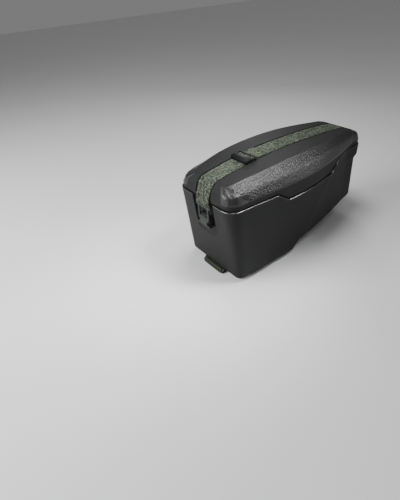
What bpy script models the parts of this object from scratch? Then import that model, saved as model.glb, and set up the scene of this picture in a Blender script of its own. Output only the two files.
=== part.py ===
"""Bicycle trunk box: a moulded foam tub and lid held shut by a webbing strap.

The strap runs lengthwise over the lid, through a ladder-lock on its top, and hooks on the front
wall with a moulded buckle. A slide plate with a press release lies under the front of the tub.
Front is -X, the near long side is -Y, up is +Z. All sizes are in millimetres until mesh data
is written, and the underside of the slide plate is at Z = 0.
"""
import math

import bmesh
import bpy
from mathutils import Vector

MM = 0.001          # metres in a millimetre
GAP = 0.3           # clearance between two pieces that touch on the real box

# Tub
TUB_H = 179.0       # base to rim
RIM_LEN = 464.0     # front of the rim to its rear
RIM_HALF = 97.0     # widest half width at the rim
BASE_HALF = 90.5    # widest half width at the base
WALL = 12.0         # foam wall
FLOOR = 14.0        # foam floor
FRONT_RAKE = 25.0   # how far the front wall leans out from base to rim
REAR_RAKE = 18.0    # how far the rear wall leans in from base to collar
FRONT_RADIUS = 30.0   # vertical edges at the front
REAR_RADIUS = 24.0    # vertical edges at the rear
FOOT_RADIUS = 17.0    # front vertical edges where they meet the base
BASE_ROUND = 4.5      # rounding where walls meet the base
COLLAR_H = 26.0       # height of the rear collar
COLLAR_OUT = 12.0     # how far the collar stands out of the rear wall
COLLAR_SLANT = 7.0    # height of the slanted face under the collar
LEDGE = 3.2           # how far the rim stands out round the lid

# Stepped underside behind the base
STEP_X = 165.0      # front foot of the step, from the front of the base
STEP_RUN = 23.0     # length of the slanted step
STEP_RISE = 22.0    # height of the step
TAIL_RISE = 16.0    # further rise from the step to the rear end
KEEL_HALF = 46.0    # half width of the keel that the slide plate carries
KEEL_LEN = 92.0     # length of the keel behind the step
KEEL_SLANT = 19.0   # lean of the keel's rear end over two cutter lengths

# Dips in the long sides of the rim, filled by tabs of the lid
DIP_FRONT = 121.0   # front end of a dip at the rim, from the rim's front
DIP_TOP = 216.0     # length at the rim
DIP_SLANT_F = 33.0  # run of the slanted front end
DIP_SLANT_R = 23.0  # run of the slanted rear end
DIP_DEEP = 22.0     # depth below the rim
TAB_GAP = 1.2       # seam round a tab

# Recess in the front wall
RECESS_HALF = 32.0
RECESS_DEEP = 6.5   # at the rim
RECESS_H = 84.0     # from the rim down
RECESS_ROUND = 9.0

# Lid
BAND_H = 11.0       # upright band above the rim
CREST_H = 53.5      # rim to the highest point of the lid's top
FRONT_DROP = 15.5   # crest to the front crease
REAR_DROP = 15.0    # crest to the rear crease
CREST_AT = 175.0    # crest, from the front crease
CREASE_HALF = 66.0  # widest half width of the flat top
CREASE_FRONT = 14.0   # front crease behind the lid's front face
CREASE_REAR = 35.0    # rear crease ahead of the lid's rear face
CREASE_RADIUS = 12.0  # corners of the flat top
LID_WALL = 12.0
LID_ROOF = 14.0
GROOVE_HALF = 23.0  # strap groove
GROOVE_DEEP = 2.0

# Strap
STRAP_W = 41.0
STRAP_T = 1.8

# Ladder-lock, lengths along the strap
LOCK_AT = 81.0      # front end, from the lid's front crease
LOCK_W = 48.0
LOCK_T = 3.2
LOCK_BAR = 5.0      # front and middle bars
LOCK_REAR_BAR = 5.6
LOCK_SLOT = 4.2     # front slot
LOCK_SLOT_R = 7.4   # rear slot, shared by both straps
LOCK_LIP = 3.4      # raised lip on the front bar
NOTCH_HALF = 6.0    # notch in the lip
FOLD_LEN = 34.0     # webbing folded back behind the lock

# Front buckle and its anchor, heights below the rim, depths out of the recess
BUCKLE_TOP = 5.0
LOOP_RAIL_H = 3.5      # rail that the strap turns round
STRAP_SLOT_H = 4.5
BUCKLE_BAR_H = 6.0
LOOP_W = 46.0          # width of the strap loop and its bar
BUCKLE_W = 34.0        # width over the rails
BUCKLE_RAIL = 5.0
WINDOW_H = 25.0
FOOT_BAR_H = 6.0
TONGUE_W = 27.0
TONGUE_H = 9.0
BUCKLE_T = 2.8
ANCHOR_W = 30.0
ANCHOR_ABOVE = 6.0     # anchor plate above the buckle's foot bar
NUB_W = 20.0
NUB_H = 4.0
NUB_OUT = 0.8          # nub stands out of the buckle's face
SHELF_W = 40.0
SHELF_H = 4.0
ANCHOR_BELOW = 2.6     # anchor plate below the shelf

# Rear anchor
REAR_ANCHOR_W = 50.0
REAR_ANCHOR_H = 24.0
REAR_ANCHOR_T = 9.0
REAR_ANCHOR_DOWN = 4.0   # below the collar
REAR_SLOT_IN = 3.6       # slot for the webbing, out of the wall

# Slide plate and release
PLATE_T = 12.0
PLATE_HALF = 43.0
PLATE_FRONT = 12.0     # behind the front of the base
PLATE_ROUND = 7.0
LEVER_HALF = 29.0
LEVER_OUT = 8.0        # how far the lever's lip stands ahead of the base
LEVER_LIP = 3.0        # height of the lip's front edge
CHEEK_T = 5.0
CHEEK_BACK = 2.5       # cheeks end behind the lip
SHANK_HALF = 20.0
SHANK_LEN = 22.0
SHANK_T = 5.6
TRAVEL = 5.0           # press of the lever

BASE_Z = PLATE_T + GAP
RIM_Z = BASE_Z + TUB_H
FRONT_FOOT = FRONT_RAKE          # front of the base, from the rim's front
TAIL_X = RIM_LEN                 # rear of the rim, from its front

# Plan of the long side: share of the length, share of the half width at the rim and at the base,
# and the same for the lid's crease.
PLAN = (
    # along, rim,  base,  crease
    (0.00, 0.893, 0.965, 0.775),
    (0.10, 0.921, 0.980, 0.872),
    (0.20, 0.955, 0.992, 0.957),
    (0.30, 0.982, 1.000, 0.990),
    (0.42, 1.000, 0.996, 1.000),
    (0.52, 0.978, 0.965, 0.998),
    (0.62, 0.907, 0.905, 0.970),
    (0.72, 0.820, 0.835, 0.905),
    (0.81, 0.716, 0.755, 0.825),
    (0.88, 0.634, 0.690, 0.765),
    (1.00, 0.560, 0.607, 0.680),
)
SIDE_STEPS = 17     # points along a side
CORNER_STEPS = 6    # points round a corner
ALONG, RIM_COL, BASE_COL, CREASE_COL = range(4)
CORNER_SHARE = 0.55   # share of an inset that comes off a corner's radius
CREASE_SHARE = 0.6    # share of an inset that comes off the crease's half width
BEYOND = 40.0         # how far a cutter reaches past the part
STEP_LEAD = 8.0       # how far the step's cutter starts ahead of the step

# Profile of the lid's shoulder, from the band to the crease: a steep face, a soft knee and a
# flatter face. Share of the way in and of the way up.
SHOULDER = ((0.0, 0.0), (0.18, 0.41), (0.22, 0.485), (0.27, 0.552), (0.33, 0.608), (0.40, 0.656),
            (1.0, 1.0))

# Rounding between the walls and the base: share of the rounding inwards and upwards.
FOOT = ((1.0, 0.0), (0.62, 0.08), (0.29, 0.29), (0.08, 0.62), (0.0, 1.0))

COLOURS = {
    "tub": (0.035, 0.036, 0.038, 1.0),
    "lid": (0.045, 0.046, 0.048, 1.0),
    "strap_front": (0.20, 0.24, 0.15, 1.0),
    "strap_rear": (0.20, 0.24, 0.15, 1.0),
    "strap_adjuster": (0.015, 0.015, 0.016, 1.0),
    "front_buckle": (0.17, 0.21, 0.11, 1.0),
    "front_anchor": (0.014, 0.014, 0.015, 1.0),
    "rear_anchor": (0.014, 0.014, 0.015, 1.0),
    "base_plate": (0.02, 0.02, 0.021, 1.0),
    "release_lever": (0.15, 0.19, 0.09, 1.0),
}


def smooth_table(table, column, share):
    """Value of a column at a share of the length, on a curve without overshoot."""
    rows = len(table)
    k = 0
    while k < rows - 2 and share > table[k + 1][ALONG]:
        k += 1

    def slope(a, b):
        return (table[b][column] - table[a][column]) / (table[b][ALONG] - table[a][ALONG])

    def tangent(i):
        if i == 0:
            return slope(0, 1)
        if i == rows - 1:
            return slope(rows - 2, rows - 1)
        before, after = slope(i - 1, i), slope(i, i + 1)
        return 0.0 if before * after <= 0.0 else 2.0 * before * after / (before + after)

    x0, x1 = table[k][ALONG], table[k + 1][ALONG]
    y0, y1 = table[k][column], table[k + 1][column]
    h = x1 - x0
    t = (share - x0) / h
    m0, m1 = tangent(k) * h, tangent(k + 1) * h
    return ((2 * t ** 3 - 3 * t ** 2 + 1) * y0 + (t ** 3 - 2 * t ** 2 + t) * m0
            + (3 * t ** 2 - 2 * t ** 3) * y1 + (t ** 3 - t ** 2) * m1)


def bezier(a, b, c, t):
    return tuple((1 - t) ** 2 * p + 2 * t * (1 - t) * q + t ** 2 * r for p, q, r in zip(a, b, c))


def half_plan(x0, x1, width, r_front, r_rear):
    """Half outline seen from above, from the flat front edge round to the flat rear edge."""
    length = x1 - x0

    def half(x):
        return width((x - x0) / length)

    points = []
    y_front, y_rear = half(x0), half(x1)
    for k in range(CORNER_STEPS):
        points.append(bezier((x0, y_front - r_front), (x0, y_front),
                             (x0 + r_front, half(x0 + r_front)), k / CORNER_STEPS))
    span = length - r_front - r_rear
    for k in range(SIDE_STEPS):
        x = x0 + r_front + span * k / (SIDE_STEPS - 1)
        points.append((x, half(x)))
    for k in range(1, CORNER_STEPS + 1):
        points.append(bezier((x1 - r_rear, half(x1 - r_rear)), (x1, y_rear),
                             (x1, y_rear - r_rear), k / CORNER_STEPS))
    return points


def full_ring(half, height):
    """Closed ring from a half outline. height is a number or a function of x."""
    level = height if callable(height) else (lambda x: height)
    right = [(x, -y, level(x)) for x, y in half]
    left = [(x, y, level(x)) for x, y in reversed(half)]
    return right + left


def tub_width(z_share, inset=0.0):
    """Half width along the tub at a share of its height."""
    def width(share):
        rim = RIM_HALF * smooth_table(PLAN, RIM_COL, share)
        base = BASE_HALF * smooth_table(PLAN, BASE_COL, share)
        return base + (rim - base) * z_share - inset
    return width


def front_x(z):
    """Outer face of the front wall at a height above the base."""
    return FRONT_FOOT * (1.0 - z / TUB_H)


def rear_x(z):
    """Outer face of the rear wall, without its collar."""
    wall_top = TAIL_X - COLLAR_OUT
    return wall_top + REAR_RAKE * (1.0 - z / (TUB_H - COLLAR_H))


def collar_share(share):
    """How much of the collar shows at a share of the length: none ahead of the rear corners."""
    start = 0.86
    t = min(max((share - start) / (1.0 - start), 0.0), 1.0)
    return t * t * (3.0 - 2.0 * t)


def tub_ring(z, inset=0.0, collar=0.0):
    """Ring of the tub at height z above its base, with its faces moved in by inset."""
    share = min(max(z / TUB_H, 0.0), 1.0)
    x0, x1 = front_x(z) + inset, rear_x(z) - inset
    r_in = CORNER_SHARE * inset
    r_front = FOOT_RADIUS + (FRONT_RADIUS - FOOT_RADIUS) * share
    half = half_plan(x0, x1, tub_width(share, inset), r_front - r_in, REAR_RADIUS - r_in)
    if collar:
        half = [(x + collar * collar_share((x - x0) / (x1 - x0)), y) for x, y in half]
    return full_ring(half, BASE_Z + z)


def underside(x):
    """Height of the stepped underside above the base, x from the rim's front."""
    d = x - (FRONT_FOOT + STEP_X)
    if d <= 0.0:
        return 0.0
    if d < STEP_RUN:
        return STEP_RISE * d / STEP_RUN
    tail = TAIL_X - (FRONT_FOOT + STEP_X + STEP_RUN)
    return STEP_RISE + TAIL_RISE * (d - STEP_RUN) / tail


CREASE_X0 = LEDGE + CREASE_FRONT
CREASE_X1 = TAIL_X - LEDGE - CREASE_REAR
CREST_X = CREASE_X0 + CREST_AT


def lid_top(x):
    """Height of the lid's flat top above the floor, x from the rim's front."""
    crest = RIM_Z + CREST_H
    if x <= CREST_X:
        t = (CREST_X - x) / (CREST_X - CREASE_X0)
        return crest - FRONT_DROP * t * t
    t = (x - CREST_X) / (CREASE_X1 - CREST_X)
    return crest - REAR_DROP * t * t


def lid_halves(inset=0.0):
    """Half outlines of the lid: its band and its crease."""
    band = half_plan(LEDGE + inset, TAIL_X - LEDGE - inset,
                     lambda s: RIM_HALF * smooth_table(PLAN, RIM_COL, s) - LEDGE - inset,
                     FRONT_RADIUS - CORNER_SHARE * (LEDGE + inset),
                     REAR_RADIUS - CORNER_SHARE * (LEDGE + inset))
    crease_in, corner = CREASE_SHARE * inset, CREASE_RADIUS - 0.4 * inset
    crease = half_plan(CREASE_X0 + inset, CREASE_X1 - inset,
                       lambda s: CREASE_HALF * smooth_table(PLAN, CREASE_COL, s) - crease_in,
                       corner, corner)
    return band, crease


def shoulder_ring(band, crease, share_in, share_up, z_band, roof):
    """Ring on the shoulder between the band and the crease."""
    ring = []
    for (bx, by), (cx, cy) in zip(band, crease):
        rise = lid_top(cx) - roof - z_band
        ring.append((bx + share_in * (cx - bx), by + share_in * (cy - by),
                     z_band + share_up * rise))
    right = [(x, -y, z) for x, y, z in ring]
    left = [(x, y, z) for x, y, z in reversed(ring)]
    return right + left


def lid_rings(inset, roof, z_low):
    band, crease = lid_halves(inset)
    z_band = RIM_Z + BAND_H
    rings = [full_ring(band, z_low), full_ring(band, z_band)]
    for share_in, share_up in SHOULDER[1:]:
        rings.append(shoulder_ring(band, crease, share_in, share_up, z_band, roof))
    return rings


def solid_from_rings(name, rings, strips=False):
    """Closed solid through rings of equal count. strips closes the top with cross strips."""
    bm = bmesh.new()
    loops = [[bm.verts.new([c * MM for c in p]) for p in ring] for ring in rings]
    count = len(loops[0])
    for low, high in zip(loops, loops[1:]):
        for i in range(count):
            j = (i + 1) % count
            bm.faces.new((low[i], low[j], high[j], high[i]))
    bm.faces.new(list(reversed(loops[0])))
    top = loops[-1]
    if strips:
        for i in range(count // 2 - 1):
            bm.faces.new((top[i], top[i + 1], top[count - 2 - i], top[count - 1 - i]))
    else:
        bm.faces.new(top)
    return finish_mesh(name, bm)


def finish_mesh(name, bm):
    bmesh.ops.remove_doubles(bm, verts=bm.verts, dist=1e-7)
    bmesh.ops.recalc_face_normals(bm, faces=bm.faces)
    mesh = bpy.data.meshes.new(name)
    bm.to_mesh(mesh)
    bm.free()
    obj = bpy.data.objects.new(name, mesh)
    bpy.context.collection.objects.link(obj)
    return obj


def prism(name, profile, low, high, axis="y"):
    """Solid with a closed profile drawn out along an axis, from low to high.

    The profile is (x, z) for y, (x, y) for z and (y, z) for x.
    """
    place = {"y": lambda a, b, c: (a, c, b), "z": lambda a, b, c: (a, b, c),
             "x": lambda a, b, c: (c, a, b)}[axis]
    bm = bmesh.new()
    ends = [[bm.verts.new([v * MM for v in place(a, b, c)]) for a, b in profile]
            for c in (low, high)]
    bm.faces.new(ends[0])
    bm.faces.new(list(reversed(ends[1])))
    n = len(profile)
    for i in range(n):
        j = (i + 1) % n
        bm.faces.new((ends[0][i], ends[1][i], ends[1][j], ends[0][j]))
    return finish_mesh(name, bm)


def block(name, x, y, z):
    """Box between pairs of limits."""
    return prism(name, ((x[0], z[0]), (x[1], z[0]), (x[1], z[1]), (x[0], z[1])), y[0], y[1])


def rounded_rect(a0, a1, b0, b1, radius, steps=5, corners=(True, True, True, True)):
    """Rectangle with chosen corners rounded: low-low, high-low, high-high, low-high."""
    centres = ((a0, b0, 180.0), (a1, b0, 270.0), (a1, b1, 0.0), (a0, b1, 90.0))
    points = []
    for (a, b, start), rounded in zip(centres, corners):
        if not rounded:
            points.append((a, b))
            continue
        ca = a + (radius if a == a0 else -radius)
        cb = b + (radius if b == b0 else -radius)
        for k in range(steps + 1):
            ang = math.radians(start + 90.0 * k / steps)
            points.append((ca + radius * math.cos(ang), cb + radius * math.sin(ang)))
    return points


def carve(obj, cutter, operation="DIFFERENCE"):
    """Cut, join or intersect obj with cutter, and remove the cutter."""
    cutter.display_type = "WIRE"
    cutter.hide_render = True
    mod = obj.modifiers.new("carve", "BOOLEAN")
    mod.operation = operation
    mod.solver = "EXACT"
    mod.object = cutter
    graph = bpy.context.evaluated_depsgraph_get()
    graph.update()
    mesh = bpy.data.meshes.new_from_object(obj.evaluated_get(graph))
    obj.modifiers.remove(mod)
    old = obj.data
    obj.data = mesh
    bpy.data.meshes.remove(old)
    bpy.data.objects.remove(cutter, do_unlink=True)
    bm = bmesh.new()
    bm.from_mesh(mesh)
    bmesh.ops.remove_doubles(bm, verts=bm.verts, dist=1e-6)
    bmesh.ops.dissolve_degenerate(bm, edges=bm.edges, dist=1e-6)
    bm.to_mesh(mesh)
    bm.free()
    mesh.name = obj.name
    return obj


def bend(obj, rule):
    """Move every vertex by a rule in millimetres."""
    for vert in obj.data.vertices:
        vert.co = Vector(rule(*(c / MM for c in vert.co))) * MM
    return obj


def paint(obj):
    mat = bpy.data.materials.new(obj.name + "_material")
    mat.use_nodes = True
    shader = mat.node_tree.nodes["Principled BSDF"]
    shader.inputs["Base Color"].default_value = COLOURS[obj.name]
    shader.inputs["Roughness"].default_value = 0.6
    obj.data.materials.clear()
    obj.data.materials.append(mat)


def build_tub():
    rings = []
    for inward, upward in FOOT:
        rings.append(tub_ring(BASE_ROUND * upward, BASE_ROUND * inward))
    slant_low = TUB_H - COLLAR_H - COLLAR_SLANT
    for z in (0.3 * TUB_H, 0.6 * TUB_H, slant_low):
        rings.append(tub_ring(z))
    for z in (TUB_H - COLLAR_H, TUB_H):
        rings.append(tub_ring(z, collar=TAIL_X - rear_x(z)))
    tub = solid_from_rings("tub", rings)

    cavity = solid_from_rings("cavity", [tub_ring(z, WALL) for z in
                                         (FLOOR, 0.5 * TUB_H, TUB_H + 4.0)])
    step = FRONT_FOOT + STEP_X
    ahead = 0.4 * FLOOR
    raised = [(step - ahead, -BEYOND)]
    for x in (step, step + STEP_RUN, TAIL_X + BEYOND):
        raised.append((x - ahead, BASE_Z + underside(x) + FLOOR))
    raised.append((TAIL_X + BEYOND, -BEYOND))
    carve(cavity, prism("raised_floor", raised, -2 * RIM_HALF, 2 * RIM_HALF))
    carve(tub, cavity)

    tail = TAIL_X + BEYOND
    low = [(step - STEP_LEAD, BASE_Z - STEP_LEAD * STEP_RISE / STEP_RUN),
           (step + STEP_RUN, BASE_Z + STEP_RISE),
           (tail, BASE_Z + underside(tail)), (tail, -BEYOND), (step - STEP_LEAD, -BEYOND)]
    under = prism("under", low, -2 * RIM_HALF, 2 * RIM_HALF)
    keel_end = step + KEEL_LEN
    room = [(step - BEYOND, -2 * BEYOND), (keel_end, -2 * BEYOND), (keel_end, BASE_Z),
            (keel_end + KEEL_SLANT, BASE_Z + 2 * BEYOND), (step - BEYOND, BASE_Z + 2 * BEYOND)]
    carve(under, prism("keel_room", room, -KEEL_HALF, KEEL_HALF))
    carve(tub, under)

    carve(tub, prism("dips", dip_profile(0.0, RIM_Z + 20.0), -2 * RIM_HALF, 2 * RIM_HALF))

    recess = prism("recess", rounded_rect(-RECESS_HALF, RECESS_HALF, -RECESS_H, 30.0,
                                          RECESS_ROUND, corners=(True, True, False, False)),
                   -40.0, RECESS_DEEP, axis="x")
    bend(recess, lambda x, y, z: (x + front_x(TUB_H + z), y, RIM_Z + z))
    carve(tub, recess)
    return tub


def dip_profile(shrink, top):
    """Trapezoid of a dip in the rim, seen from the side, made smaller by shrink."""
    foot = RIM_Z - DIP_DEEP + shrink
    slope_f = DIP_SLANT_F / DIP_DEEP
    slope_r = DIP_SLANT_R / DIP_DEEP
    front, rear = DIP_FRONT + shrink, DIP_FRONT + DIP_TOP - shrink
    return ((front + slope_f * (RIM_Z - foot), foot), (rear - slope_r * (RIM_Z - foot), foot),
            (rear, RIM_Z), (rear, top), (front, top), (front, RIM_Z))


def build_lid():
    low = RIM_Z + GAP
    lid = solid_from_rings("lid", lid_rings(0.0, 0.0, low), strips=True)
    carve(lid, solid_from_rings("hollow", lid_rings(LID_WALL, LID_ROOF, low - 5.0), strips=True))

    skirt_out, _ = lid_halves()
    skirt_in, _ = lid_halves(LID_WALL - LEDGE - 0.6)
    skirt = solid_from_rings("skirt", [full_ring(skirt_out, RIM_Z - DIP_DEEP - 5.0),
                                       full_ring(skirt_out, RIM_Z + 0.5 * BAND_H)])
    carve(skirt, solid_from_rings("skirt_room", [full_ring(skirt_in, RIM_Z - DIP_DEEP - 9.0),
                                                 full_ring(skirt_in, RIM_Z + BAND_H)]))
    carve(skirt, prism("tabs", dip_profile(TAB_GAP, RIM_Z + 0.3 * BAND_H), -2 * RIM_HALF,
                       2 * RIM_HALF), "INTERSECT")
    carve(lid, skirt, "UNION")

    floor = offset_line(lid_line(RIM_Z - 5.0), GROOVE_DEEP)
    sky = RIM_Z + CREST_H + 30.0
    outline = [(floor[0][0] - 40.0, floor[0][1])] + floor + [(floor[-1][0] + 40.0, floor[-1][1]),
                                                            (floor[-1][0] + 40.0, sky),
                                                            (floor[0][0] - 40.0, sky)]
    carve(lid, prism("groove", outline, -GROOVE_HALF, GROOVE_HALF))
    return lid


def lid_line(low):
    """Middle profile of the lid in (x, z), from the foot of its front to the foot of its rear."""
    z_band = RIM_Z + BAND_H
    ends = []
    for bx, cx in ((LEDGE, CREASE_X0), (TAIL_X - LEDGE, CREASE_X1)):
        rise = lid_top(cx) - z_band
        ends.append([(bx, low)] + [(bx + a * (cx - bx), z_band + u * rise) for a, u in SHOULDER])
    steps = 16
    span = CREASE_X1 - CREASE_X0
    top = [(CREASE_X0 + span * k / steps, lid_top(CREASE_X0 + span * k / steps))
           for k in range(1, steps)]
    return ends[0] + top + list(reversed(ends[1]))


def offset_line(line, distance):
    """Line moved to its right side by a distance: into the lid when run front to rear."""
    moved = []
    for i, (x, z) in enumerate(line):
        ax, az = line[max(i - 1, 0)]
        bx, bz = line[min(i + 1, len(line) - 1)]
        size = math.hypot(bx - ax, bz - az)
        moved.append((x + distance * (bz - az) / size, z - distance * (bx - ax) / size))
    return moved


def ribbon_rows(path, thickness):
    """Both faces of webbing whose middle follows a path of (x, z)."""
    rows = []
    for i, (x, z) in enumerate(path):
        normals = []
        for a, b in ((i - 1, i), (i, i + 1)):
            if a < 0 or b >= len(path):
                continue
            dx, dz = path[b][0] - path[a][0], path[b][1] - path[a][1]
            size = math.hypot(dx, dz)
            normals.append((-dz / size, dx / size))
        nx = sum(n[0] for n in normals) / len(normals)
        nz = sum(n[1] for n in normals) / len(normals)
        reach = 0.5 * thickness / max(nx * nx + nz * nz, 0.45)
        rows.append(((x - reach * nx, z - reach * nz), (x + reach * nx, z + reach * nz)))
    return rows


def ribbon(name, path):
    bm = bmesh.new()
    loops = []
    side = 0.5 * STRAP_W
    for (ax, az), (bx, bz) in ribbon_rows(path, STRAP_T):
        loops.append([bm.verts.new((px * MM, py * MM, pz * MM)) for px, py, pz in
                      ((ax, -side, az), (ax, side, az), (bx, side, bz), (bx, -side, bz))])
    for low, high in zip(loops, loops[1:]):
        for i in range(4):
            j = (i + 1) % 4
            bm.faces.new((low[i], low[j], high[j], high[i]))
    bm.faces.new(loops[0])
    bm.faces.new(list(reversed(loops[-1])))
    return finish_mesh(name, bm)


def recess_floor(drop):
    """Floor of the front recess at a height below the rim."""
    return front_x(TUB_H - drop) + RECESS_DEEP


def on_front(obj):
    """Move a piece from (depth, y, height below the rim) to the upright plane of the buckle.

    Faces at the depth of one clearance follow the recess floor, which leans away below.
    """
    def place(x, y, z):
        plane = recess_floor(-z) if x < 1.5 * GAP else RECESS_DEEP
        return plane - x, y, RIM_Z + z
    return bend(obj, place)


LOCK_UNDER = STRAP_T + GAP
LOCK_OVER = LOCK_UNDER + LOCK_T + GAP + 0.5 * STRAP_T
BED_MIDDLE = GROOVE_DEEP - GAP - 0.5 * STRAP_T
MID = 0.5 * STRAP_T
BEHIND = GAP + MID                              # middle of webbing that lies on a wall
BUCKLE_BACK = 2 * GAP + STRAP_T                 # depth of the buckle's back


def lock_x():
    """Starts and ends of the ladder-lock's three bars."""
    x = CREASE_X0 + LOCK_AT
    bars = []
    for bar, slot in ((LOCK_BAR, LOCK_SLOT), (LOCK_BAR, LOCK_SLOT_R), (LOCK_REAR_BAR, 0.0)):
        bars += [x, x + bar]
        x += bar + slot
    return bars


def bed_point(x, h):
    """Point h above the webbing's bed in the lid's groove."""
    return x, lid_top(x) - GROOVE_DEEP + GAP + h


def build_straps():
    lock = lock_x()
    bed = offset_line(lid_line(RIM_Z - 5.0), BED_MIDDLE)

    rail_foot = BUCKLE_TOP + LOOP_RAIL_H
    outside = BUCKLE_BACK + BUCKLE_T + BEHIND

    def by_wall(drop, depth):
        return RECESS_DEEP - depth, RIM_Z - drop

    turn = rail_foot + GAP + STRAP_T
    front = [by_wall(BUCKLE_TOP - 2.0, BEHIND), by_wall(rail_foot - 0.5, BEHIND),
             by_wall(turn, BEHIND + 0.5), by_wall(turn, outside - 0.5),
             by_wall(rail_foot - 0.5, outside), by_wall(BUCKLE_TOP - 1.0, outside - 0.2)]
    front += [p for p in bed if p[1] > RIM_Z + BAND_H + 2.0 and p[0] < lock[0] - 4.0]
    up = 0.5 * (lock[1] + lock[2])
    down = lock[3] + BEHIND
    front += [bed_point(lock[0], MID), bed_point(up - MID, MID), bed_point(up, STRAP_T),
              bed_point(up, LOCK_OVER - MID), bed_point(up + MID, LOCK_OVER),
              bed_point(down - MID, LOCK_OVER), bed_point(down, LOCK_OVER - MID),
              bed_point(down, MID)]

    end, rear_bar = lock[5], lock[4]
    fold = STRAP_T + GAP + MID
    back = rear_bar - BEHIND
    rear = [bed_point(end + FOLD_LEN, fold), bed_point(end + 0.5 * FOLD_LEN, fold),
            bed_point(end + 7.0, fold), bed_point(end + 2.0, LOCK_OVER - MID),
            bed_point(end, LOCK_OVER), bed_point(back + MID, LOCK_OVER),
            bed_point(back, LOCK_OVER - MID), bed_point(back, STRAP_T),
            bed_point(back + MID, MID), bed_point(end + 4.0, MID)]
    rear += [p for p in bed if p[0] > end + 10.0 and p[1] > RIM_Z + 0.5 * BAND_H]
    collar_foot = RIM_Z - COLLAR_H
    slot_x = rear_anchor_x() + REAR_SLOT_IN + MID
    outer = TAIL_X + BEHIND + 0.1
    rear += [(outer, RIM_Z + 0.5), (outer, collar_foot - 1.2),
             (slot_x + 0.4, collar_foot - COLLAR_SLANT - REAR_ANCHOR_DOWN),
             (slot_x, collar_foot - COLLAR_SLANT - REAR_ANCHOR_DOWN - 0.5 * REAR_ANCHOR_H)]
    return ribbon("strap_front", front), ribbon("strap_rear", rear)


def build_lock():
    lock = lock_x()
    half = 0.5 * LOCK_W
    slot = 0.5 * STRAP_W + GAP
    obj = prism("strap_adjuster", rounded_rect(lock[0], lock[5], -half, half, 2.5),
                LOCK_UNDER, LOCK_UNDER + LOCK_T, axis="z")
    for a, b in ((lock[1], lock[2]), (lock[3], lock[4])):
        carve(obj, block("slot", (a, b), (-slot, slot), (LOCK_UNDER - 5.0, LOCK_UNDER + 20.0)))
    top = LOCK_UNDER + LOCK_T
    lip = prism("lip", ((lock[0] + 0.6, top - 0.5), (lock[1] - 0.8, top - 0.5),
                        (lock[0] + 2.6, top + LOCK_LIP), (lock[0] + 0.6, top + LOCK_LIP)),
                -half + 2.0, half - 2.0)
    carve(lip, prism("notch", ((-NOTCH_HALF, top + 0.8), (NOTCH_HALF, top + 0.8),
                               (NOTCH_HALF + 2.0, top + 12.0), (-NOTCH_HALF - 2.0, top + 12.0)),
                     lock[0] - 5.0, lock[1] + 5.0, axis="x"))
    carve(obj, lip, "UNION")
    return bend(obj, lambda x, y, h: (x, y, lid_top(x) - GROOVE_DEEP + GAP + h))


def buckle_levels():
    """Heights below the rim, from the top of the buckle to the foot of its tongue."""
    levels = [BUCKLE_TOP]
    for step in (LOOP_RAIL_H, STRAP_SLOT_H, BUCKLE_BAR_H, WINDOW_H, FOOT_BAR_H, TONGUE_H):
        levels.append(levels[-1] + step)
    return [-v for v in levels]


def build_buckle():
    top, rail, slot, bar, window, foot, tongue = buckle_levels()
    loop, side, tip = 0.5 * LOOP_W, 0.5 * BUCKLE_W, 0.5 * TONGUE_W
    right = [(loop - 1.5, top), (loop, top - 1.5), (loop, bar + 1.5), (loop - 1.5, bar),
             (side, bar), (side, foot + 2.0), (side - 2.0, foot), (tip, foot),
             (tip, tongue + 2.0), (tip - 2.0, tongue)]
    outline = right + [(-y, z) for y, z in reversed(right)]
    obj = prism("front_buckle", outline, BUCKLE_BACK, BUCKLE_BACK + BUCKLE_T, axis="x")
    reach = (BUCKLE_BACK - 5.0, BUCKLE_BACK + BUCKLE_T + 5.0)
    strap = 0.5 * STRAP_W + GAP
    carve(obj, block("strap_slot", reach, (-strap, strap), (slot, rail)))
    inner = side - BUCKLE_RAIL
    carve(obj, prism("window", rounded_rect(-inner, inner, window, bar, 2.0, 3), *reach, axis="x"))
    return on_front(obj)


def build_front_anchor():
    _, _, _, _, window, foot, tongue = buckle_levels()
    half = 0.5 * ANCHOR_W
    shelf = tongue - GAP
    obj = block("front_anchor", (GAP, BUCKLE_BACK - GAP), (-half, half),
                (shelf - SHELF_H - ANCHOR_BELOW, window + ANCHOR_ABOVE))
    out = BUCKLE_BACK + BUCKLE_T + NUB_OUT
    carve(obj, block("nub", (2 * GAP, out), (-0.5 * NUB_W, 0.5 * NUB_W),
                     (window + GAP, window + GAP + NUB_H)), "UNION")
    carve(obj, block("shelf", (GAP, BUCKLE_BACK + BUCKLE_T), (-0.5 * SHELF_W, 0.5 * SHELF_W),
                     (shelf - SHELF_H, shelf)), "UNION")
    return on_front(obj)


def rear_anchor_x():
    """Outer face of the rear wall behind the rear anchor."""
    return TAIL_X - COLLAR_OUT + GAP


def build_rear_anchor():
    z1 = RIM_Z - COLLAR_H - COLLAR_SLANT - REAR_ANCHOR_DOWN
    z0 = z1 - REAR_ANCHOR_H
    half = 0.5 * REAR_ANCHOR_W
    slot = 0.5 * STRAP_W + GAP
    obj = block("rear_anchor", (0.0, REAR_ANCHOR_T), (-half, half), (z0, z1))
    carve(obj, block("slot", (REAR_SLOT_IN - GAP, REAR_SLOT_IN + STRAP_T + GAP + 0.4), (-slot, slot),
                     (z0 + 6.0, z1 + 10.0)))

    def place(x, y, z):
        back = rear_x(z - BASE_Z) + GAP if x < GAP else rear_anchor_x()
        return back + x, y, z
    return bend(obj, place)


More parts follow.
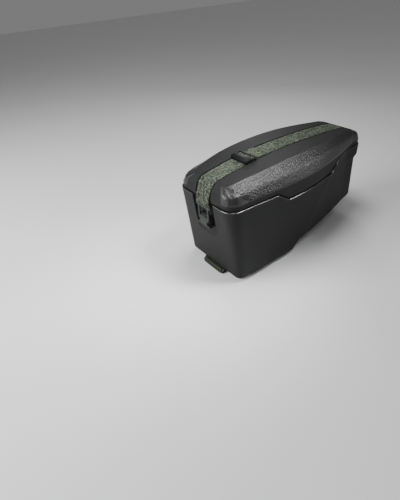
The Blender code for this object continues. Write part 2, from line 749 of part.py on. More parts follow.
def build_plate():
    x0 = FRONT_FOOT + PLATE_FRONT
    x1 = FRONT_FOOT + STEP_X + KEEL_LEN - 2.0
    obj = prism("base_plate", rounded_rect(x0, x1, -PLATE_HALF, PLATE_HALF, PLATE_ROUND),
                0.0, PLATE_T, axis="z")
    lip = FRONT_FOOT - LEVER_OUT + CHEEK_BACK
    inner = LEVER_HALF + GAP
    for side in (-1.0, 1.0):
        y = sorted((side * inner, side * (inner + CHEEK_T)))
        cheek = prism("cheek", ((lip, 1.0), (x0 + 8.0, 1.0), (x0 + 8.0, PLATE_T - 0.5),
                                (FRONT_FOOT, PLATE_T - 0.5), (lip, LEVER_LIP + 1.5)), y[0], y[1])
        carve(obj, cheek, "UNION")
    mid = 0.5 * PLATE_T
    room = 0.5 * SHANK_T + GAP
    carve(obj, block("shank_room", (x0 - 5.0, x0 + SHANK_LEN - TRAVEL + GAP),
                     (-SHANK_HALF - GAP, SHANK_HALF + GAP), (mid - room, mid + room)))
    return obj


def build_lever():
    plate_x = FRONT_FOOT + PLATE_FRONT
    back = plate_x - TRAVEL - GAP
    lip = FRONT_FOOT - LEVER_OUT
    obj = prism("release_lever", ((lip, 1.2), (back, 1.2), (back, PLATE_T - 0.6),
                                  (FRONT_FOOT - 4.0, PLATE_T - 0.6), (lip, LEVER_LIP)),
                -LEVER_HALF, LEVER_HALF)
    mid = 0.5 * PLATE_T
    carve(obj, block("shank", (back - 2.0, back + SHANK_LEN - TRAVEL), (-SHANK_HALF, SHANK_HALF),
                     (mid - 0.5 * SHANK_T, mid + 0.5 * SHANK_T)), "UNION")
    return obj


def main():
    for obj in list(bpy.data.objects):
        bpy.data.objects.remove(obj, do_unlink=True)
    parts = [build_tub(), build_lid(), *build_straps(), build_lock(), build_buckle(),
             build_front_anchor(), build_rear_anchor(), build_plate(), build_lever()]
    xs = [v.co.x for obj in parts for v in obj.data.vertices]
    middle = 0.5 * (min(xs) + max(xs))
    for obj in parts:
        for vert in obj.data.vertices:
            vert.co.x -= middle
        bm = bmesh.new()
        bm.from_mesh(obj.data)
        bmesh.ops.recalc_face_normals(bm, faces=bm.faces)
        bm.to_mesh(obj.data)
        bm.free()
        paint(obj)


main()
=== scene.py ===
# %% [markdown]
# # A bicycle trunk box in moulded foam
# The box is a hard case: a tub and a lid of moulded foam, held shut by one strap that runs the
# length of the lid. This lesson dresses its construction model, piece by piece. The construction
# model gives the places and the sizes, so each new piece is made in the same frame.

# %% Load the construction model
import math

import bmesh
import bpy
from mathutils import Matrix, Vector


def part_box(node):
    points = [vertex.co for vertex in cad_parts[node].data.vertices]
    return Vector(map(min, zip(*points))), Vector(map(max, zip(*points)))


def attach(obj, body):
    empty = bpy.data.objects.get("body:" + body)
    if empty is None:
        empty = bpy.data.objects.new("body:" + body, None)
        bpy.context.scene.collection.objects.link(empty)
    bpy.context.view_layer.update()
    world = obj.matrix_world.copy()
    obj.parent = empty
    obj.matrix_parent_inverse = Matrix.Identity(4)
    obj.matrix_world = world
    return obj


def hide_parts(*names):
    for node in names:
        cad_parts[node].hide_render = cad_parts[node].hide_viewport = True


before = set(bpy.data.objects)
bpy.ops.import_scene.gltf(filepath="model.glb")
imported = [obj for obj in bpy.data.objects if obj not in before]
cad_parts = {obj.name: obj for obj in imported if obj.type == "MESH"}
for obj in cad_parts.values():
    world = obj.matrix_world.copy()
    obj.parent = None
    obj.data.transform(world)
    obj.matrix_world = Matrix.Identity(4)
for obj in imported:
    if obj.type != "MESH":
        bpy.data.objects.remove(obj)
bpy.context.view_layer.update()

MM = 0.001
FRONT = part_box("tub")[0].x / MM      # the rim's front end, in millimetres
BOTTOM_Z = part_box("tub")[0].z / MM   # the tub's base


# %% [markdown]
# The foam's colour, the webbing's green and the plastics are matched in sRGB, the space of
# a picture on a screen. Shaders work in linear light, so one function turns the hex values over.

# %% Colours
def linear(code):
    """Linear RGBA from an sRGB hex value."""
    channels = [int(code[i:i + 2], 16) / 255.0 for i in (1, 3, 5)]
    return tuple(c / 12.92 if c <= 0.04045 else ((c + 0.055) / 1.055) ** 2.4
                 for c in channels) + (1.0,)


FOAM_BLACK = "#161617"
FOAM_PALE = "#1d1d1e"
FOAM_SEAM = "#0b0b0c"
WEB_GREEN = "#3b443a"
WEB_PALE = "#6f7565"
WEB_DARK = "#171c17"
MOULD_BLACK = "#0a0b0b"
MOULD_GREEN = "#192017"
MOULD_GREY = "#2f3031"
MOULD_OLIVE = "#293022"
print("the foam's black is", [round(v, 4) for v in linear(FOAM_BLACK)[:3]])


# %% [markdown]
# Every material below is a small tree of nodes. One helper adds a node, sets its values and
# joins its inputs. A few more stand for what comes back in each tree: a sum, a change of range,
# a mixture of two colours, a noise of a given size and a bump of a given depth.

# %% Helpers for nodes
def add(tree, kind, settings=None, **inputs):
    """Adds a node with its settings, and gives each named input a value or a link."""
    node = tree.nodes.new(kind)
    for key, value in (settings or {}).items():
        setattr(node, key, value)
    for key, value in inputs.items():
        socket = node.inputs[int(key[1:])] if key[0] == "i" and key[1:].isdigit() else \
            node.inputs[key.replace("_", " ")]
        if isinstance(value, bpy.types.NodeSocket):
            tree.links.new(value, socket)
        else:
            socket.default_value = value
    return node


def calc(tree, operation, *values):
    """Result of a sum on numbers or links."""
    return add(tree, "ShaderNodeMath", {"operation": operation},
               **{f"i{k}": value for k, value in enumerate(values)}).outputs[0]


def remap(tree, value, low, high, to_low=0.0, to_high=1.0):
    """Moves a range of values onto another one, and holds them in it."""
    return add(tree, "ShaderNodeMapRange", Value=value, From_Min=low, From_Max=high,
               To_Min=to_low, To_Max=to_high).outputs[0]


def blend(tree, share, first, second):
    """Mixture of two colours, each a hex value or a link."""
    first, second = (linear(c) if isinstance(c, str) else c for c in (first, second))
    return add(tree, "ShaderNodeMix", {"data_type": "RGBA"}, Factor=share, i6=first,
               i7=second).outputs[2]


def noise(tree, place, size, detail=2.0, rough=0.5):
    """Noise from 0 to 1 whose blobs are size millimetres across."""
    return add(tree, "ShaderNodeTexNoise", Vector=place, Scale=1.0 / (size * MM), Detail=detail,
               Roughness=rough).outputs["Fac"]


def bump(tree, height, depth, strength=1.0, **under):
    """Bump of a depth in millimetres, over another one where Normal names it."""
    return add(tree, "ShaderNodeBump", Strength=strength, Distance=depth * MM, Height=height,
               **under).outputs[0]


def set_shader(tree, shader, **inputs):
    """Gives the shader's inputs, with _ for a space, their numbers or links."""
    for key, value in inputs.items():
        socket = shader.inputs[key.replace("_", " ")]
        if isinstance(value, bpy.types.NodeSocket):
            tree.links.new(value, socket)
        else:
            socket.default_value = value


def new_material(name):
    """A material with an empty tree, its shader and the object's own coordinates."""
    material = bpy.data.materials.new(name)
    material.use_nodes = True
    tree = material.node_tree
    tree.nodes.clear()
    shader = tree.nodes.new("ShaderNodeBsdfPrincipled")
    output = tree.nodes.new("ShaderNodeOutputMaterial")
    tree.links.new(shader.outputs[0], output.inputs["Surface"])
    return material, tree, shader, add(tree, "ShaderNodeTexCoord").outputs["Object"]


# %% [markdown]
# The foam is expanded polypropylene: beads of 3 to 4 mm, fused by steam in a mould. One moulding
# shows three skins. Most of it is a matte charcoal skin with faint bead outlines. The lid's
# shoulders are glossier, and a panel on them was moulded against a pebbled steel face, so that
# it throws small highlights. An attribute on the mesh, grain, says where the pebbles are.
# The rim's edge is burnished by the lid that closes on it, and draws a thin bright line. Gloss
# is one number for a whole material, so each skin is a material of its own.

# %% Expanded polypropylene foam
BEAD = 3.6        # millimetres across a bead
PEBBLE = 2.8      # millimetres across a pebble of the grained skin, drawn coarse to show
PEBBLE_DEEP = 0.9
SEAM_SHOWS = 0.35   # share of the darker bead outlines in the colour


def foam_material(name, rough, level, pebbled=False):
    material, tree, shader, place = new_material(name)
    beads = add(tree, "ShaderNodeTexVoronoi", {"feature": "DISTANCE_TO_EDGE"}, Vector=place,
                Scale=1.0 / (BEAD * MM), Randomness=0.85)
    edge = remap(tree, beads.outputs["Distance"], 0.0, 0.16)
    tone = noise(tree, place, 14.0, 4.0, 0.6)
    body = blend(tree, remap(tree, tone, 0.35, 0.65), FOAM_BLACK, FOAM_PALE)
    seamed = blend(tree, edge, FOAM_SEAM, body)
    skin = calc(tree, "MULTIPLY_ADD", edge, 0.16, noise(tree, place, 0.9, 3.0, 0.6))
    normal = bump(tree, skin, 0.25, 0.30)
    if pebbled:
        grain = add(tree, "ShaderNodeAttribute", {"attribute_name": "grain"})
        pebbles = add(tree, "ShaderNodeTexVoronoi", {"feature": "SMOOTH_F1"}, Vector=place,
                      Scale=1.0 / (PEBBLE * MM), Smoothness=0.4, Randomness=1.0)
        heap = calc(tree, "SUBTRACT", 1.0, pebbles.outputs["Distance"])
        normal = bump(tree, calc(tree, "MULTIPLY", heap, grain.outputs["Fac"]), PEBBLE_DEEP,
                      Normal=normal)
    set_shader(tree, shader, Base_Color=blend(tree, SEAM_SHOWS, body, seamed), Normal=normal,
               Roughness=remap(tree, tone, 0.3, 0.7, rough - 0.03, rough + 0.04),
               Specular_IOR_Level=level, IOR=1.49)
    return material


foam = foam_material("expanded_polypropylene_skin", 0.58, 0.20)
foam_pebbled = foam_material("expanded_polypropylene_pebbled", 0.38, 0.50, pebbled=True)
foam_burnished = foam_material("expanded_polypropylene_burnished", 0.15, 1.0)
print("made", foam.name, "with beads of", BEAD, "mm, and its two other skins")


# %% [markdown]
# The strap is polypropylene webbing, woven of yarns in mixed greens. Its pattern follows the
# strap round each bend, so the mesh carries a map in metres: across the strap, and along it.
# A real yarn is about 1.2 mm wide. It is drawn at 2 mm, so that the mixture shows.

# %% Woven webbing
YARN = 2.0         # millimetres across a drawn yarn
PICK = 2.8         # millimetres along one, before it dives under the next


def webbing_material():
    material, tree, shader, place = new_material("woven_polypropylene_webbing")
    cloth = add(tree, "ShaderNodeUVMap", {"uv_map": "cloth"}).outputs[0]
    parts = add(tree, "ShaderNodeSeparateXYZ", Vector=cloth)
    column = calc(tree, "DIVIDE", parts.outputs[0], YARN * MM)
    whole = calc(tree, "FLOOR", column)
    row = calc(tree, "DIVIDE", parts.outputs[1], PICK * MM)
    stepped = calc(tree, "ADD", row, calc(tree, "MULTIPLY", whole, 0.5))
    cell = add(tree, "ShaderNodeCombineXYZ", X=whole, Y=calc(tree, "FLOOR", stepped))
    tone = add(tree, "ShaderNodeTexWhiteNoise", {"noise_dimensions": "2D"},
               Vector=cell.outputs[0])

    def arch(value):
        """Height of a yarn, from 0 at its edges to 1 in its middle."""
        return calc(tree, "SINE", calc(tree, "MULTIPLY", calc(tree, "FRACT", value), math.pi))
    height = calc(tree, "MULTIPLY", arch(column), arch(stepped))
    melange = add(tree, "ShaderNodeValToRGB", Fac=tone.outputs["Value"])
    ramp = melange.color_ramp
    ramp.elements[0].color, ramp.elements[1].color = linear(WEB_DARK), linear(WEB_PALE)
    ramp.elements.new(0.40).color = linear(WEB_GREEN)
    # painted shade: each yarn's colour is darkened to 0.35 towards its edges, where it dips under
    # the next yarn
    shade = remap(tree, height, 0.0, 0.6, 0.35, 1.0)
    wash = remap(tree, noise(tree, place, 8.0, 4.0), 0.3, 0.7, 0.72, 1.24)
    colour = add(tree, "ShaderNodeVectorMath", {"operation": "SCALE"},
                 i0=melange.outputs["Color"], i3=calc(tree, "MULTIPLY", shade, wash))
    lift = calc(tree, "MULTIPLY_ADD", noise(tree, place, 1.1, 3.0), 0.4, height)
    set_shader(tree, shader, Base_Color=colour.outputs[0], Normal=bump(tree, lift, 0.5, 0.7),
               Roughness=0.8, Specular_IOR_Level=0.2, IOR=1.49)
    return material


webbing = webbing_material()
print("made", webbing.name, "with yarns of", YARN, "mm")


# %% [markdown]
# The fittings are moulded acetal and glass-filled nylon. Acetal has a fine, even satin. Nylon is
# duller, and both pick up pale scuffs where a thumb or a strap rubs them. The scuffs come
# from a broad noise, because the shader may not know where the camera stands.

# %% Moulded plastics
def plastic_material(name, colour, pale, rough, scuff, level):
    material, tree, shader, place = new_material(name)
    wear = noise(tree, place, 9.0, 5.0, 0.65)
    patch = remap(tree, wear, 0.48, 0.72, 0.0, scuff)
    set_shader(tree, shader, Base_Color=blend(tree, patch, colour, pale),
               Roughness=remap(tree, wear, 0.3, 0.7, rough - 0.06, rough + 0.08),
               Normal=bump(tree, noise(tree, place, 0.7), 0.08, 0.25),
               Specular_IOR_Level=level, IOR=1.5)
    return material


PLASTICS = (
    # name, colour, scuffed colour, roughness, most scuff, specular level
    ("moulded_acetal_black", MOULD_BLACK, "#1c1d1d", 0.40, 0.35, 0.18),
    ("moulded_acetal_green", MOULD_GREEN, "#2a3326", 0.46, 0.40, 0.25),
    ("glass_filled_nylon_black", "#151617", "#303131", 0.55, 0.40, 0.25),
    ("moulded_acetal_olive", MOULD_OLIVE, "#3e4634", 0.46, 0.40, 0.25),
    ("glass_filled_nylon_charcoal", MOULD_GREY, "#3d3e3f", 0.60, 0.40, 0.20),
)
acetal_black, acetal_green, nylon_black, acetal_olive, nylon_grey = (
    plastic_material(*row) for row in PLASTICS)
print("made", acetal_black.name, acetal_green.name, nylon_black.name)


# %% [markdown]
# Both foam shells follow the same rule as the construction model: a table gives the half width
# along the box, at the rim, at the base and at the crease of the lid's top.

# %% Sizes of the shells, in millimetres
TUB_H, RIM_LEN, RIM_HALF, BASE_HALF = 179.0, 464.0, 97.0, 90.5
WALL, FLOOR, LEDGE = 12.0, 14.0, 3.2
FRONT_RAKE, REAR_RAKE = 25.0, 18.0
FRONT_RADIUS, REAR_RADIUS, FOOT_RADIUS = 30.0, 24.0, 17.0
BASE_ROUND, RIM_ROUND = 4.5, 2.2
COLLAR_H, COLLAR_OUT, COLLAR_SLANT = 26.0, 12.0, 7.0
STEP_X, STEP_RUN, STEP_RISE, TAIL_RISE = 165.0, 23.0, 22.0, 16.0
KEEL_HALF, KEEL_LEN = 46.0, 92.0
DIP_FRONT, DIP_TOP, DIP_SLANT_F, DIP_SLANT_R, DIP_DEEP = 121.0, 216.0, 33.0, 23.0, 22.0
RECESS_HALF, RECESS_DEEP, RECESS_H, RECESS_ROUND = 32.0, 6.5, 84.0, 9.0
BAND_H, CREST_H, FRONT_DROP, REAR_DROP, CREST_AT = 11.0, 53.5, 15.5, 15.0, 175.0
CREASE_HALF, CREASE_FRONT, CREASE_REAR, CREASE_RADIUS = 66.0, 14.0, 35.0, 12.0
KNEE_IN, KNEE_UP = 0.25, 0.57
LID_WALL, LID_ROOF, GROOVE_HALF, GROOVE_DEEP = 12.0, 14.0, 23.0, 2.0
GAP, TAB_GAP = 0.3, 1.2
BASE_Z = BOTTOM_Z
RIM_Z = BASE_Z + TUB_H

PLAN = (
    # along, rim,  base,  crease
    (0.00, 0.893, 0.965, 0.775),
    (0.10, 0.921, 0.980, 0.872),
    (0.20, 0.955, 0.992, 0.957),
    (0.30, 0.982, 1.000, 0.990),
    (0.42, 1.000, 0.996, 1.000),
    (0.52, 0.978, 0.965, 0.998),
    (0.62, 0.907, 0.905, 0.970),
    (0.72, 0.820, 0.835, 0.905),
    (0.81, 0.716, 0.755, 0.825),
    (0.88, 0.634, 0.690, 0.765),
    (1.00, 0.560, 0.607, 0.680),
)
RIM_COL, BASE_COL, CREASE_COL = 1, 2, 3
print("rim", RIM_LEN, "by", 2.0 * RIM_HALF, "mm, walls", WALL, "mm")


# %% [markdown]
# A rule read from a table has corners at its rows. On real foam nothing has a corner there, so
# the values between two rows lie on a curve that passes through both and never overshoots.

# %% Curves that the shells follow
def smooth_table(column, share):
    """Value of a column of PLAN at a share of the length, on a curve without overshoot."""
    rows = len(PLAN)
    k = 0
    while k < rows - 2 and share > PLAN[k + 1][0]:
        k += 1

    def slope(a, b):
        return (PLAN[b][column] - PLAN[a][column]) / (PLAN[b][0] - PLAN[a][0])

    def tangent(i):
        if i == 0:
            return slope(0, 1)
        if i == rows - 1:
            return slope(rows - 2, rows - 1)
        before, after = slope(i - 1, i), slope(i, i + 1)
        return 0.0 if before * after <= 0.0 else 2.0 * before * after / (before + after)

    h = PLAN[k + 1][0] - PLAN[k][0]
    t = (share - PLAN[k][0]) / h
    return ((2 * t ** 3 - 3 * t ** 2 + 1) * PLAN[k][column] + (t ** 3 - 2 * t ** 2 + t)
            * tangent(k) * h + (3 * t ** 2 - 2 * t ** 3) * PLAN[k + 1][column]
            + (t ** 3 - t ** 2) * tangent(k + 1) * h)


def bezier(a, b, c, t):
    return tuple((1 - t) ** 2 * p + 2 * t * (1 - t) * q + t ** 2 * r for p, q, r in zip(a, b, c))


def step(value, low, high):
    """Smooth step from 0 at low to 1 at high."""
    t = min(max((value - low) / (high - low), 0.0), 1.0)
    return t * t * (3.0 - 2.0 * t)


def underside(x):
    """Height of the stepped underside above the base."""
    d = x - (FRONT_RAKE + STEP_X)
    if d <= 0.0:
        return 0.0
    if d < STEP_RUN:
        return STEP_RISE * d / STEP_RUN
    return STEP_RISE + TAIL_RISE * (d - STEP_RUN) / (RIM_LEN - FRONT_RAKE - STEP_X - STEP_RUN)


def dip(x):
    """Depth of the dip in the side of the rim, its corners eased."""
    def sharp(at):
        rise = min((at - DIP_FRONT) / DIP_SLANT_F, (DIP_FRONT + DIP_TOP - at) / DIP_SLANT_R)
        return DIP_DEEP * min(max(rise, 0.0), 1.0)
    return sum(sharp(x + d) for d in (-2.4, -1.2, 0.0, 1.2, 2.4)) / 5.0


print("the rim dips by", round(max(dip(x) for x in range(int(RIM_LEN))), 2), "mm")


# %% [markdown]
# A shell is a loft: rings of equal count, one above the other. The columns of a ring are named by
# where they stand, on the front, round a corner, along the side or on the rear. They crowd where
# the strap's groove, the recess, the step and the dip need a crisp edge.

# %% Columns of a ring
FLAT = (0.0, 4.5, 9.0, 13.5, 17.5, 19.6, 20.2, 20.8, 22.6, 23.0, 23.6, 24.2, 26.0, 28.5, 30.2,
        31.2, 32.2, 33.2, 34.4, 38.0)
FLAT_MORE = 3           # further columns from the last one to the corner
CORNER_STEPS = 12
FRONT_KEEP, REAR_KEEP = 38.0, 26.0   # columns nearer the middle keep their place


def flat_columns(end, keep):
    """Distances from the middle, out to end."""
    last = FLAT[-1]
    nominal = list(FLAT) + [last + 19.0 * (k + 1) / FLAT_MORE for k in range(FLAT_MORE)]
    top = nominal[-1]
    return [c if c <= keep else keep + (c - keep) / (top - keep) * (end - keep) for c in nominal]


def side_shares():
    """Shares along the side, closer together at the kinks."""
    start, length = FRONT_RADIUS, RIM_LEN - FRONT_RADIUS - REAR_RADIUS
    foot0, foot = FRONT_RAKE + FOOT_RADIUS, RIM_LEN - COLLAR_OUT + REAR_RAKE - REAR_RADIUS
    kinks = [(x - start) / length for x in
             (DIP_FRONT, DIP_FRONT + DIP_SLANT_F, DIP_FRONT + DIP_TOP - DIP_SLANT_R,
              DIP_FRONT + DIP_TOP)]
    kinks += [(x - foot0) / (foot - foot0) for x in
              (FRONT_RAKE + STEP_X, FRONT_RAKE + STEP_X + STEP_RUN)]
    shares = [k / 64.0 for k in range(65)]
    near = 4.2 / length
    shares = [s for s in shares if s in (0.0, 1.0) or all(abs(s - k) > near for k in kinks)]
    for k in kinks:
        shares += [k + d / length for d in (-3.6, -2.4, -1.2, 0.0, 1.2, 2.4, 3.6)]
    return sorted(shares)


COLUMNS = [("front", k) for k in range(len(FLAT) + FLAT_MORE)]
COLUMNS += [("front_corner", k / CORNER_STEPS) for k in range(1, CORNER_STEPS)]
COLUMNS += [("side", s) for s in side_shares()]
COLUMNS += [("rear_corner", k / CORNER_STEPS) for k in range(1, CORNER_STEPS)]
COLUMNS += [("rear", k) for k in reversed(range(len(FLAT) + FLAT_MORE))]
N_FLAT = len(FLAT) + FLAT_MORE
print("columns on a half ring", len(COLUMNS))


def half_point(column, x0, x1, width, r_front, r_rear):
    """Point of a half outline, seen from above, for one column."""
    kind, t = column

    def half(x):
        return width((x - x0) / (x1 - x0))
    if kind == "front":
        return x0, flat_columns(half(x0) - r_front, FRONT_KEEP)[t]
    if kind == "rear":
        return x1, flat_columns(half(x1) - r_rear, REAR_KEEP)[t]
    if kind == "front_corner":
        return bezier((x0, half(x0) - r_front), (x0, half(x0)),
                      (x0 + r_front, half(x0 + r_front)), t)
    if kind == "rear_corner":
        return bezier((x1 - r_rear, half(x1 - r_rear)), (x1, half(x1)), (x1, half(x1) - r_rear), t)
    x = x0 + r_front + t * (x1 - x0 - r_front - r_rear)
    return x, half(x)


# %% [markdown]
# The loft keeps a mesh open while rings are added, and joins each ring to the one below it. Its
# ends are closed by rows across the ring, because one large face would shade badly. The grain
# of the skin is kept as an attribute of the points, and the foam's shader reads it.

# %% A loft through rings
SKINS = (foam, foam_pebbled, foam_burnished)
MATTE, PEBBLED, BURNISHED = range(3)


class Loft:
    """Closed shell through rings, each a list of (x, y, z, grain) from a half outline."""

    def __init__(self, name):
        self.name = name
        self.bm = bmesh.new()
        self.grain = self.bm.verts.layers.float.new("grain")
        self.rings = []

    def vert(self, x, y, z, grain=0.0):
        v = self.bm.verts.new(((x + FRONT) * MM, y * MM, z * MM))
        v[self.grain] = grain
        return v

    def quad(self, corners, skin=MATTE):
        self.bm.faces.new(corners).material_index = skin

    def ring(self, half, skin=MATTE):
        """Adds a ring. The pebbled skin keeps to the sides and the corners."""
        near = [self.vert(x, -y, z, g) for x, y, z, g in half]
        far = [self.vert(x, y, z, g) for x, y, z, g in reversed(half[1:-1])]
        ring = near + far
        if self.rings:
            low, n = self.rings[-1], len(ring)
            for i in range(n):
                j = (i + 1) % n
                flat = all(COLUMNS[k if k < len(COLUMNS) else n - k][0] in ("front", "rear")
                           for k in (i, j))
                self.quad((low[i], low[j], ring[j], ring[i]),
                          MATTE if flat and skin == PEBBLED else skin)
        self.rings.append(ring)
        return ring

    def cap(self, ring, place):
        """Closes a ring with rows across it. place(x, y) gives the three coordinates of a point."""
        n = len(ring)
        middle = [ring[i] for i in range(N_FLAT - 1, 0, -1)] + [ring[0]] \
            + [ring[n - i] for i in range(1, N_FLAT)]
        rows = [middle]
        last = len(COLUMNS) - N_FLAT
        for k in range(N_FLAT, last):
            near, far = ring[k], ring[n - k]
            x, end = near.co.x / MM - FRONT, -near.co.y / MM
            share = (k - N_FLAT) / (last - N_FLAT)
            a, b = flat_columns(end, FRONT_KEEP), flat_columns(end, REAR_KEEP)
            across = [p + (q - p) * min(1.0, 4.0 * share) for p, q in zip(a, b)]
            row = [near] + [self.vert(*place(x, -y)) for y in reversed(across[1:-1])]
            row += [self.vert(*place(x, 0.0))]
            row += [self.vert(*place(x, y)) for y in across[1:-1]] + [far]
            rows.append(row)
        rear = [ring[i] for i in range(last, len(COLUMNS) - 1)] + [ring[len(COLUMNS) - 1]] \
            + [ring[n - i] for i in range(len(COLUMNS) - 2, last - 1, -1)]
        rows.append(rear)
        for low, high in zip(rows, rows[1:]):
            for i in range(len(low) - 1):
                self.quad((low[i], high[i], high[i + 1], low[i + 1]))

    def finish(self, sharp=40.0):
        bmesh.ops.remove_doubles(self.bm, verts=self.bm.verts, dist=1e-6)
        bmesh.ops.recalc_face_normals(self.bm, faces=self.bm.faces)
        mesh = bpy.data.meshes.new(self.name)
        self.bm.to_mesh(mesh)
        self.bm.free()
        obj = bpy.data.objects.new(self.name, mesh)
        bpy.context.scene.collection.objects.link(obj)
        for skin in SKINS:
            mesh.materials.append(skin)
        mesh.shade_smooth()
        mesh.set_sharp_from_angle(angle=math.radians(sharp))
        return obj


# %% [markdown]
# The tub's walls lean out from the base to the rim, and its rear end carries a collar. The front
# wall has a shallow recess for the buckle, and a soft ridge runs up each side from the step,
# where the wall turns in towards the narrow tail. Both are small moves of the loft's points.

# %% The tub's leaning walls
RIDGE_FOOT, RIDGE_LEAN = 229.0, 0.66      # where the ridge starts, and its run per rise
RIDGE_OUT, RIDGE_WIDE, RIDGE_SOFT = 2.0, 26.0, 4.5
RECESS_FADE = 0.72                        # how much of its depth the recess loses at its foot


def front_x(z):
    return FRONT_RAKE * (1.0 - z / TUB_H)


def rear_x(z):
    return RIM_LEN - COLLAR_OUT + REAR_RAKE * (1.0 - z / (TUB_H - COLLAR_H))


def ridge(x, z):
    """How far the side stands out near its soft ridge, z above the base."""
    s = x - (RIDGE_FOOT + RIDGE_LEAN * (z - 48.0))
    near = math.sqrt(s * s + RIDGE_SOFT ** 2) - RIDGE_SOFT
    fade = step(z, 20.0, 60.0) * (1.0 - 0.5 * step(z, 150.0, TUB_H))
    return RIDGE_OUT * fade * math.exp(-near / RIDGE_WIDE)


def recess(y, z):
    """Depth of the front recess at a point, z above the base."""
    drop = TUB_H - z
    a = abs(y) - (RECESS_HALF - RECESS_ROUND)
    b = drop - (RECESS_H - RECESS_ROUND)
    outside = math.hypot(max(a, 0.0), max(b, 0.0)) - RECESS_ROUND if max(a, b) > 0.0 \
        else max(a, b) - RECESS_ROUND
    foot = 1.0 - RECESS_FADE * step(drop, RECESS_H - 22.0, RECESS_H)
    return RECESS_DEEP * foot * (1.0 - step(outside, -1.3, 1.3))


print("the recess is", round(recess(0.0, TUB_H - 10.0), 2), "mm deep")


# %% [markdown]
# A point of the wall is found from its height. The foot of the wall follows the stepped
# underside and its top follows the dip, so a ring isn't level: its height is found twice over,
# from the place that the last guess gave.

# %% The tub's rings
def tub_point(column, z, inset):
    """Point of the tub's wall at height z above the base, moved in by inset."""
    share = min(max(z / TUB_H, 0.0), 1.0)

    def width(s):
        rim = RIM_HALF * smooth_table(RIM_COL, s)
        base = BASE_HALF * smooth_table(BASE_COL, s)
        return base + (rim - base) * share - inset
    x0, x1 = front_x(z) + inset, rear_x(z) - inset
    r_front = FOOT_RADIUS + (FRONT_RADIUS - FOOT_RADIUS) * share
    x, y = half_point(column, x0, x1, width, r_front - 0.55 * inset, REAR_RADIUS - 0.55 * inset)
    out = (RIM_LEN - rear_x(z)) * step(z, TUB_H - COLLAR_H - COLLAR_SLANT, TUB_H - COLLAR_H)
    if inset < 0.9 * WALL:
        x += out * step((x - x0) / (x1 - x0), 0.86, 1.0)
    skin = 1.0 - step(inset, RIM_ROUND, WALL)
    y += ridge(x, z) * skin
    if column[0] == "front":
        x += recess(y, z) * skin
    return x, y


def tub_ring(level, inset=0.0, lift=0.0):
    """Half ring at a share of the wall from the foot's rounding to the rim's rounding."""
    half = []
    for column in COLUMNS:
        guess, _ = tub_point(column, level * TUB_H, inset)
        for _ in range(2):
            low, high = underside(guess) + BASE_ROUND, TUB_H - dip_at(column, guess) - RIM_ROUND
            z = low + (high - low) * level + lift
            guess, y = tub_point(column, z, inset)
        half.append((guess, y, BASE_Z + z, 0.0))
    return half


def dip_at(column, x):
    return dip(x) if column[0] == "side" else 0.0


print("a ring of the tub has", 2 * len(tub_ring(0.5)) - 2, "points")


# %% [markdown]
# The rim is rounded to 2 mm, and that round edge catches the light all the way round the box.
# The wall is a real wall: it turns over the rim, goes down inside and ends in a floor.

# %% Make the tub
WALL_LEVELS = (0.0, 0.03, 0.07, 0.12, 0.18, 0.24, 0.30, 0.36, 0.42, 0.47, 0.50, 0.515, 0.525,
               0.535, 0.55, 0.58, 0.62, 0.67, 0.72, 0.77, 0.805, 0.815, 0.825, 0.835, 0.845,
               0.855, 0.865, 0.88, 0.91, 0.94, 0.965, 0.98, 0.99, 1.0)
ROUND_STEPS = 4


def build_tub():
    loft = Loft("tub_shell")
    quarter = [0.5 * math.pi * k / ROUND_STEPS for k in range(ROUND_STEPS)]
    for a in quarter:
        inset = BASE_ROUND * (1.0 - math.sin(a))
        loft.ring(tub_ring(0.0, inset, -BASE_ROUND * math.cos(a)))
    for level in WALL_LEVELS:
        loft.ring(tub_ring(level))
    for a in quarter[1:] + [0.5 * math.pi]:
        loft.ring(tub_ring(1.0, RIM_ROUND * (1.0 - math.cos(a)), RIM_ROUND * math.sin(a)),
                  BURNISHED)
    for inset in (0.5 * WALL, WALL - 0.8):
        loft.ring(tub_ring(1.0, inset, RIM_ROUND), BURNISHED)
    for level in (0.995, 0.8, 0.55, 0.3, 0.12):
        loft.ring(tub_ring(level, WALL))
    inner = loft.ring(tub_ring(0.0, WALL + 2.0, FLOOR - BASE_ROUND))

    def floor_at(lift):
        return lambda x, y: (x, y, BASE_Z + underside(x) + lift, 0.0)
    loft.cap(inner, floor_at(FLOOR))
    loft.cap(loft.rings[0], floor_at(0.0))
    return loft.finish()


tub = build_tub()
print("tub faces", len(tub.data.polygons))


# %% [markdown]
# Under the tail runs a low keel that the slide plate carries. It is a plain prism with rounded
# edges, and it belongs to the tub's moulding. A Bevel modifier rounds it, and the result is
# taken over as its mesh, as for every other moulded piece here.

# %% Prisms and rounded edges
def prism_mesh(bm, profile, low, high):
    """Adds a closed prism: a profile in (x, z) drawn out along y."""
    ends = [[bm.verts.new(((x + FRONT) * MM, y * MM, z * MM)) for x, z in profile]
            for y in (low, high)]
    bm.faces.new(ends[0])
    bm.faces.new(list(reversed(ends[1])))
    for i in range(len(profile)):
        j = (i + 1) % len(profile)
        bm.faces.new((ends[0][i], ends[1][i], ends[1][j], ends[0][j]))


def mesh_object(name, bm, material, sharp=40.0):
    bmesh.ops.recalc_face_normals(bm, faces=bm.faces)
    mesh = bpy.data.meshes.new(name)
    bm.to_mesh(mesh)
    bm.free()
    obj = bpy.data.objects.new(name, mesh)
    bpy.context.scene.collection.objects.link(obj)
    mesh.materials.append(material)
    mesh.shade_smooth()
    mesh.set_sharp_from_angle(angle=math.radians(sharp))
    return obj


def baked(obj, place=None, sharp=40.0):
    """Turns what an object's modifier made into its own mesh, and moves that to its place."""
    graph = bpy.context.evaluated_depsgraph_get()
    mesh = bpy.data.meshes.new_from_object(obj.evaluated_get(graph))
    obj.modifiers.clear()
    old = obj.data
    obj.data = mesh
    bpy.data.meshes.remove(old)
    mesh.name = obj.name
    if place is not None:
        mesh.transform(place)
    mesh.shade_smooth()
    mesh.set_sharp_from_angle(angle=math.radians(sharp))
    return obj


